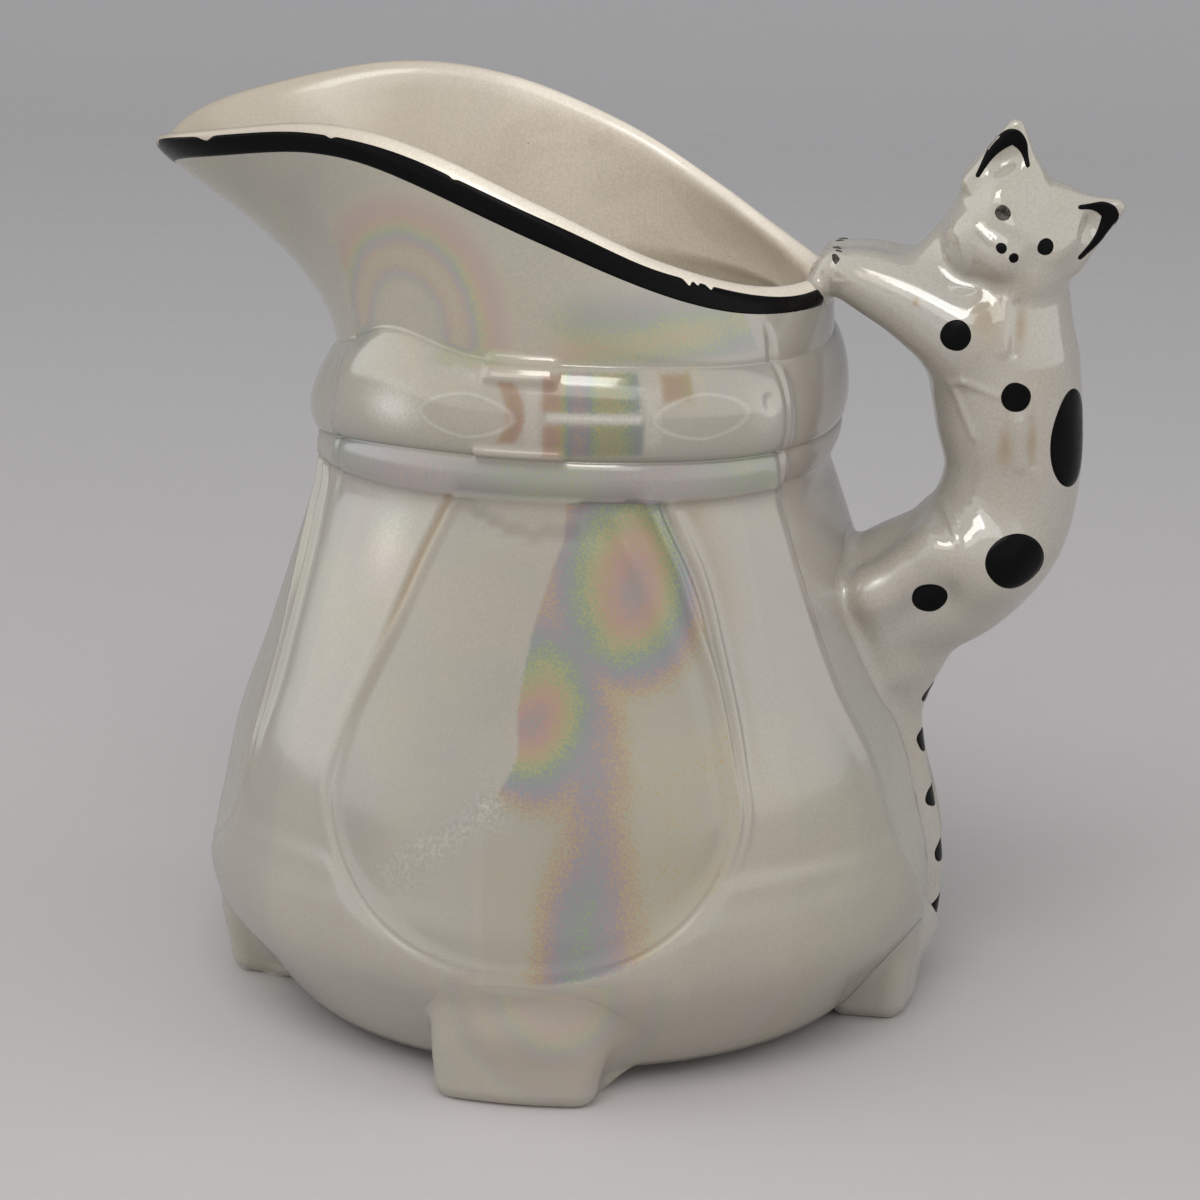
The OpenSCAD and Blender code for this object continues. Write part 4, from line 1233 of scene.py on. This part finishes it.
class Strokes:
    """Gathers patches of enamel into one piece."""

    def __init__(self):
        self.points, self.faces, self.wear, self.count = [], [], [], 0

    def add(self, grid, closed, wear=0.0):
        rows, columns = grid.shape[:2]
        self.points.append(grid.reshape(-1, 3))
        self.faces.append(grid_faces(rows, columns, closed) + self.count)
        self.wear.append(np.broadcast_to(wear, (rows, columns)).ravel())
        self.count += rows * columns

    def piece(self, name, node):
        points, faces = np.concatenate(self.points), np.concatenate(self.faces)
        wear = {"wear": np.concatenate(self.wear)}
        mesh_piece(name, points, faces, (node,), enamel, wear)


def spot(strokes, seat, across, up, direction, seed, rough=0.05, field=cat_field, wear=0.0):
    """One dab: a disc about a seat, spanned by two half axes and laid on along a direction."""
    u, v, high = disc(seed, rough)
    flat = np.array(seat) + u[..., None] * np.array(across) + v[..., None] * np.array(up)
    on = drop_on(field, flat, direction)
    strokes.add(laid(field, on, high), True, wear)


spots = Strokes()
# Spots on the cat's near and far side: (x, z, radius)
NEAR_SPOTS = ((47.1, 89.2, 1.85), (54.5, 81.7, 1.8), (55.1, 61.1, 3.4), (44.9, 56.2, 2.1))
FAR_SPOTS = ((50, 84.5, 2.4), (56, 73, 2.8), (54, 62, 2.6))
for i, (x, z, r) in enumerate(NEAR_SPOTS):
    spot(spots, (x, -SIDE_FROM, z), (r, 0, 0), (0, 0, r), (0, 1, 0), i)
for i, (x, z, r) in enumerate(FAR_SPOTS):
    spot(spots, (x, SIDE_FROM, z), (-r, 0, 0), (0, 0, r), (0, -1, 0), 10 + i)
# The long spot on the cat's back: the way it faces, its middle and its half width and height
BACK_SPOT_TURN = -27.0
BACK_SPOT_AT, BACK_SPOT_WIDE, BACK_SPOT_TALL = np.array([53.6, 0, 75.6]), 4.0, 6.1
out = outward(BACK_SPOT_TURN)
across, up = BACK_SPOT_WIDE * np.array([-out[1], out[0], 0]), (0, 0, BACK_SPOT_TALL)
spot(spots, BACK_SPOT_AT + BACK_FROM * out, across, up, -out, 20, 0.04)
spots.piece("painted_spots", "cat_spots")

bars = Strokes()
TAIL_BARS, BAR_WIDE, BAR_TALL = (41, 34.6, 27.2, 20, 12.4), 2.2, 1.4
for i, z in enumerate(TAIL_BARS):
    spot(bars, (TAIL_FROM, 0, z), (0, BAR_WIDE, 0), (0, 0, BAR_TALL), (-1, 0, 0), 30 + i, 0.12, figure_field)
bars.piece("painted_tail_bars", "tail_bars")

ACROSS_FACE, FACE_ON, UP_FACE = HEAD_FRAME.T


def face_dab(strokes, x, z, wide, tall, seed, wear=0.0):
    """A dab on the face, at a place in the head's own frame."""
    seat = from_head((x, -FACE_FROM, z))
    spot(strokes, seat, wide * ACROSS_FACE, tall * UP_FACE, FACE_ON, seed, 0.06, cat_field, wear)


eyes = Strokes()
face_dab(eyes, -3.3, 2.1, 0.95, 0.85, 41, 0.55)
face_dab(eyes, 3.3, 2.1, 0.95, 0.95, 42)
eyes.piece("painted_eyes", "eyes")
nose = Strokes()
face_dab(nose, -0.95, -1.0, 0.66, 0.6, 43)
face_dab(nose, 0.95, -1.0, 0.6, 0.56, 44)
nose.piece("painted_nostrils", "nostrils")


def ribbon(strokes, middle, half, direction, field, reach, columns=7):
    """A brush stroke along a line of places, as wide as its half widths say."""
    run = np.gradient(middle, axis=0)
    side = np.cross(run, direction)
    side /= np.linalg.norm(side, axis=-1, keepdims=True)
    share = np.concatenate([[-1.04], np.linspace(-1, 1, columns), [1.04]])
    flat = middle[:, None] + (half[:, None] * share)[..., None] * side[:, None]
    on = drop_on(field, flat, direction, reach)
    strokes.add(laid(field, on, brushed(flat.shape[:2])), False)


# The middle of an ear's stroke in the head's frame: (share of its length, x, z)
EAR_STROKE = ((0, 7.9, 2.7), (0.3, 8.3, 6.2), (0.5, 7.8, 8.8), (0.58, 7.2, 9.2), (0.7, 5.9, 8.9),
              (1, 3.8, 7.5))
# How far in front of the head the ears' strokes are laid on from
EAR_STROKE_FROM = 16.0


def ear_line(side, n=60):
    """The middle of an ear's stroke, from the foot of its outer edge over the tip to its inner edge."""
    t = np.linspace(0, 1, n)
    x = curve([(k, v) for k, v, _ in EAR_STROKE], t)
    z = curve([(k, v) for k, _, v in EAR_STROKE], t)
    half = 0.24 + 0.72 * bell((t - 0.55) / 0.2) + 0.2 * bell((t - 0.3) / 0.2)
    half = half * np.sqrt(clamp(t / 0.03)) * np.sqrt(clamp((1 - t) / 0.04)) + 0.01
    line = from_head(np.stack([side * x, np.full(n, -EAR_STROKE_FROM), z], -1))
    return line, half * (1 + 0.08 * ripple(9 * t, 0, side))


ears = Strokes()
for side in (-1, 1):
    ribbon(ears, *ear_line(side), FACE_ON, cat_field, EAR_STROKE_FROM - 0.8)
ears.piece("painted_ear_edges", "ear_edges")

claws = Strokes()
# Marks on each paw: (way aside from its middle, half length, half width)
CLAWS = ((-1.0, 0.5, 0.42), (0.1, 0.4, 0.16), (0.9, 0.5, 0.16), (1.8, 0.5, 0.16))
CLAW_AT = np.array([32.2, 3.7, 108])
for side in (-1, 1):
    for i, (shift, long, wide) in enumerate(CLAWS):
        seat = CLAW_AT * (1, side, 1) + (-0.3 * abs(shift), -side * shift, 0)
        ahead = (long, 0.25 * side * long, 0)
        spot(claws, seat, ahead, (0, wide, 0), (0, 0, -1), 50 + i, 0.15, cat_field, 0.4)
claws.piece("painted_claws", "claw_marks")

# How far from the cat the black line stops, in degrees
LINE_END = 9.0
# Chips along the line's top edge: (angle, depth, half width in degrees)
CHIPS = ((188, 0.7, 1.4), (201, 0.55, 1.0), (222, 0.3, 0.7), (250, 0.25, 0.8), (305.5, 0.8, 0.9),
         (308, 0.5, 0.6), (311.5, 0.6, 0.8))


def rim_stripe():
    """The black line under the rim: its edges waver, its top is chipped and it is worn at the spout's tip."""
    a = np.linspace(LINE_END, 360 - LINE_END, 720)
    top = LINE_TOP + 0.14 * ripple(a / 6, 0, 60)
    low = LINE_LOW + 0.18 * ripple(a / 9, 0, 61)
    low = low - 0.6 * bell((turn(a) - 160) / 24) - 0.9 * soft((60 - turn(a)) / 40)
    for at, deep, wide in CHIPS:
        top = top + deep * bell((a - at) / wide)
    end = soft((turn(a) - LINE_END) / 2.5) ** 0.5
    middle = (top + low) / 2
    top, low = between(middle, top, end), between(middle, low, end)
    share = np.concatenate([[-0.02], np.linspace(0, 1, 9), [1.02]])
    drop = between(top[:, None], low[:, None], share)
    around = np.broadcast_to(a[:, None], drop.shape)
    z = rim_z_at(around) - drop
    points = settle(wall_field, ring(around, outer_r(around, z), z), 3)
    wear = 0.75 * bell((turn(around) - 180) / 5)
    stripe = Strokes()
    stripe.add(laid(wall_field, points, brushed(drop.shape))[::-1], False, wear[::-1])
    stripe.piece("painted_rim_line", "rim_line")


rim_stripe()

# Floor, light and camera

# The camera that the photograph was taken with, as fitted: angles in degrees, then distance and aim
PHOTO_PX = 1200
CAMERA_AZ, CAMERA_EL, CAMERA_ROLL = 9.5, 17.3, 0.31
CAMERA_FAR, FOCAL_PX = 531.06, 4200
TARGET_RIGHT, TARGET_Z = 2.436, 50.339


def camera():
    """The camera at the photograph's place."""
    az, el, roll = (math.radians(v) for v in (CAMERA_AZ, CAMERA_EL, CAMERA_ROLL))
    right = Vector((math.cos(az), math.sin(az), 0))
    back = Vector((math.sin(az) * math.cos(el), -math.cos(az) * math.cos(el), math.sin(el)))
    up = back.cross(right)
    rolled = math.cos(roll) * right + math.sin(roll) * up
    up = -math.sin(roll) * right + math.cos(roll) * up
    stand = right * TARGET_RIGHT + Vector((0, 0, TARGET_Z)) + back * CAMERA_FAR
    data = bpy.data.cameras.new("photo_camera")
    data.sensor_width = 36
    data.lens = data.sensor_width * FOCAL_PX / PHOTO_PX
    data.clip_start = 0.02
    data.clip_end = 20
    cam = shown("photo_camera", data)
    turned = Matrix((rolled, up, back)).transposed()
    cam.matrix_world = Matrix.Translation(Vector(place(stand))) @ turned.to_4x4()
    bpy.context.scene.camera = cam


PAPER = linear(192, 188, 187), linear(197, 193, 192)
# The paper is painted darker further back, and darker and bluer up the sweep: painted shade
PAPER_FAR, PAPER_HIGH = linear(177, 176, 177), linear(146, 150, 157)


def backdrop():
    """A pale floor that sweeps up behind the jug, painted darker towards the back and up the sweep as painted
    shade.
    """
    deep, bend, tall, wide = 0.55, 0.5, 2.2, 2.6
    line = [(-2.2, 0.0), (-0.6, 0.0), (0.0, 0.0), (deep, 0.0)]
    for t in np.linspace(0, math.pi / 2, 16)[1:]:
        line.append((deep + bend * math.sin(t), bend * (1 - math.cos(t))))
    line += [(deep + bend, tall)]
    points = [(s * wide, y, z) for y, z in line for s in (-1, 1)]
    faces = [(2 * i, 2 * i + 1, 2 * i + 3, 2 * i + 2) for i in range(len(line) - 1)]
    mesh = bpy.data.meshes.new("backdrop")
    mesh.from_pydata(points, [], faces)
    mesh.polygons.foreach_set("use_smooth", [True] * len(faces))
    n = Nodes(bpy.data.materials.new("pale_paper"))
    paper = n.mix(n.noise(140, 3), *PAPER)
    at = n.axes()
    paper = n.mix(n.range(at["Y"], 0.0, 0.5), paper, PAPER_FAR)
    n.set("Base Color", n.mix(n.range(at["Z"], 0.0, 0.35), paper, PAPER_HIGH))
    n.set("Roughness", n.range(n.noise(4, 2), 0.3, 0.7, 0.6, 0.75))
    mesh.materials.append(n.owner)
    floor = shown("backdrop", mesh)


def lamp(name, stand, aim, width, height, power):
    """A soft panel of light that stands at one place and faces another, both in metres."""
    data = bpy.data.lights.new(name, "AREA")
    data.shape = "RECTANGLE"
    data.size, data.size_y = width, height
    data.energy = power
    light = shown(name, data)
    light.location = stand
    light.rotation_mode = "QUATERNION"
    light.rotation_quaternion = (Vector(aim) - Vector(stand)).to_track_quat("-Z", "Y")


# How bright the tent is all round, how much brighter at its sides, and how much more on the left
TENT_LEVEL, TENT_SIDES, TENT_LEFT = 0.66, 0.5, 0.28


def lights():
    """Two soft panels, overhead and in front, in a pale tent that is brighter at its sides."""
    lamp("top_light", stand=(0.02, -0.72, 1.06), aim=(0, 0, 0.06), width=0.6, height=0.4, power=3.4)
    lamp("front_light", stand=(0, -1.0, 0.87), aim=(0, 0, 0.08), width=1.2, height=0.5, power=2.2)
    n = Nodes(bpy.data.worlds.new("studio"), "Background", "Generated")
    bpy.context.scene.world = n.owner
    right = n.axes()["X"]
    left = n.math("MINIMUM", right, 0.0)
    sides = n.math("MULTIPLY_ADD", n.times(right, right), TENT_SIDES, TENT_LEVEL)
    n.set("Color", (1, 1, 1, 1))
    n.set("Strength", n.math("MULTIPLY_ADD", n.times(left, left), TENT_LEFT, sides))


camera()
backdrop()
lights()
bpy.context.scene.view_settings.view_transform = "Standard"
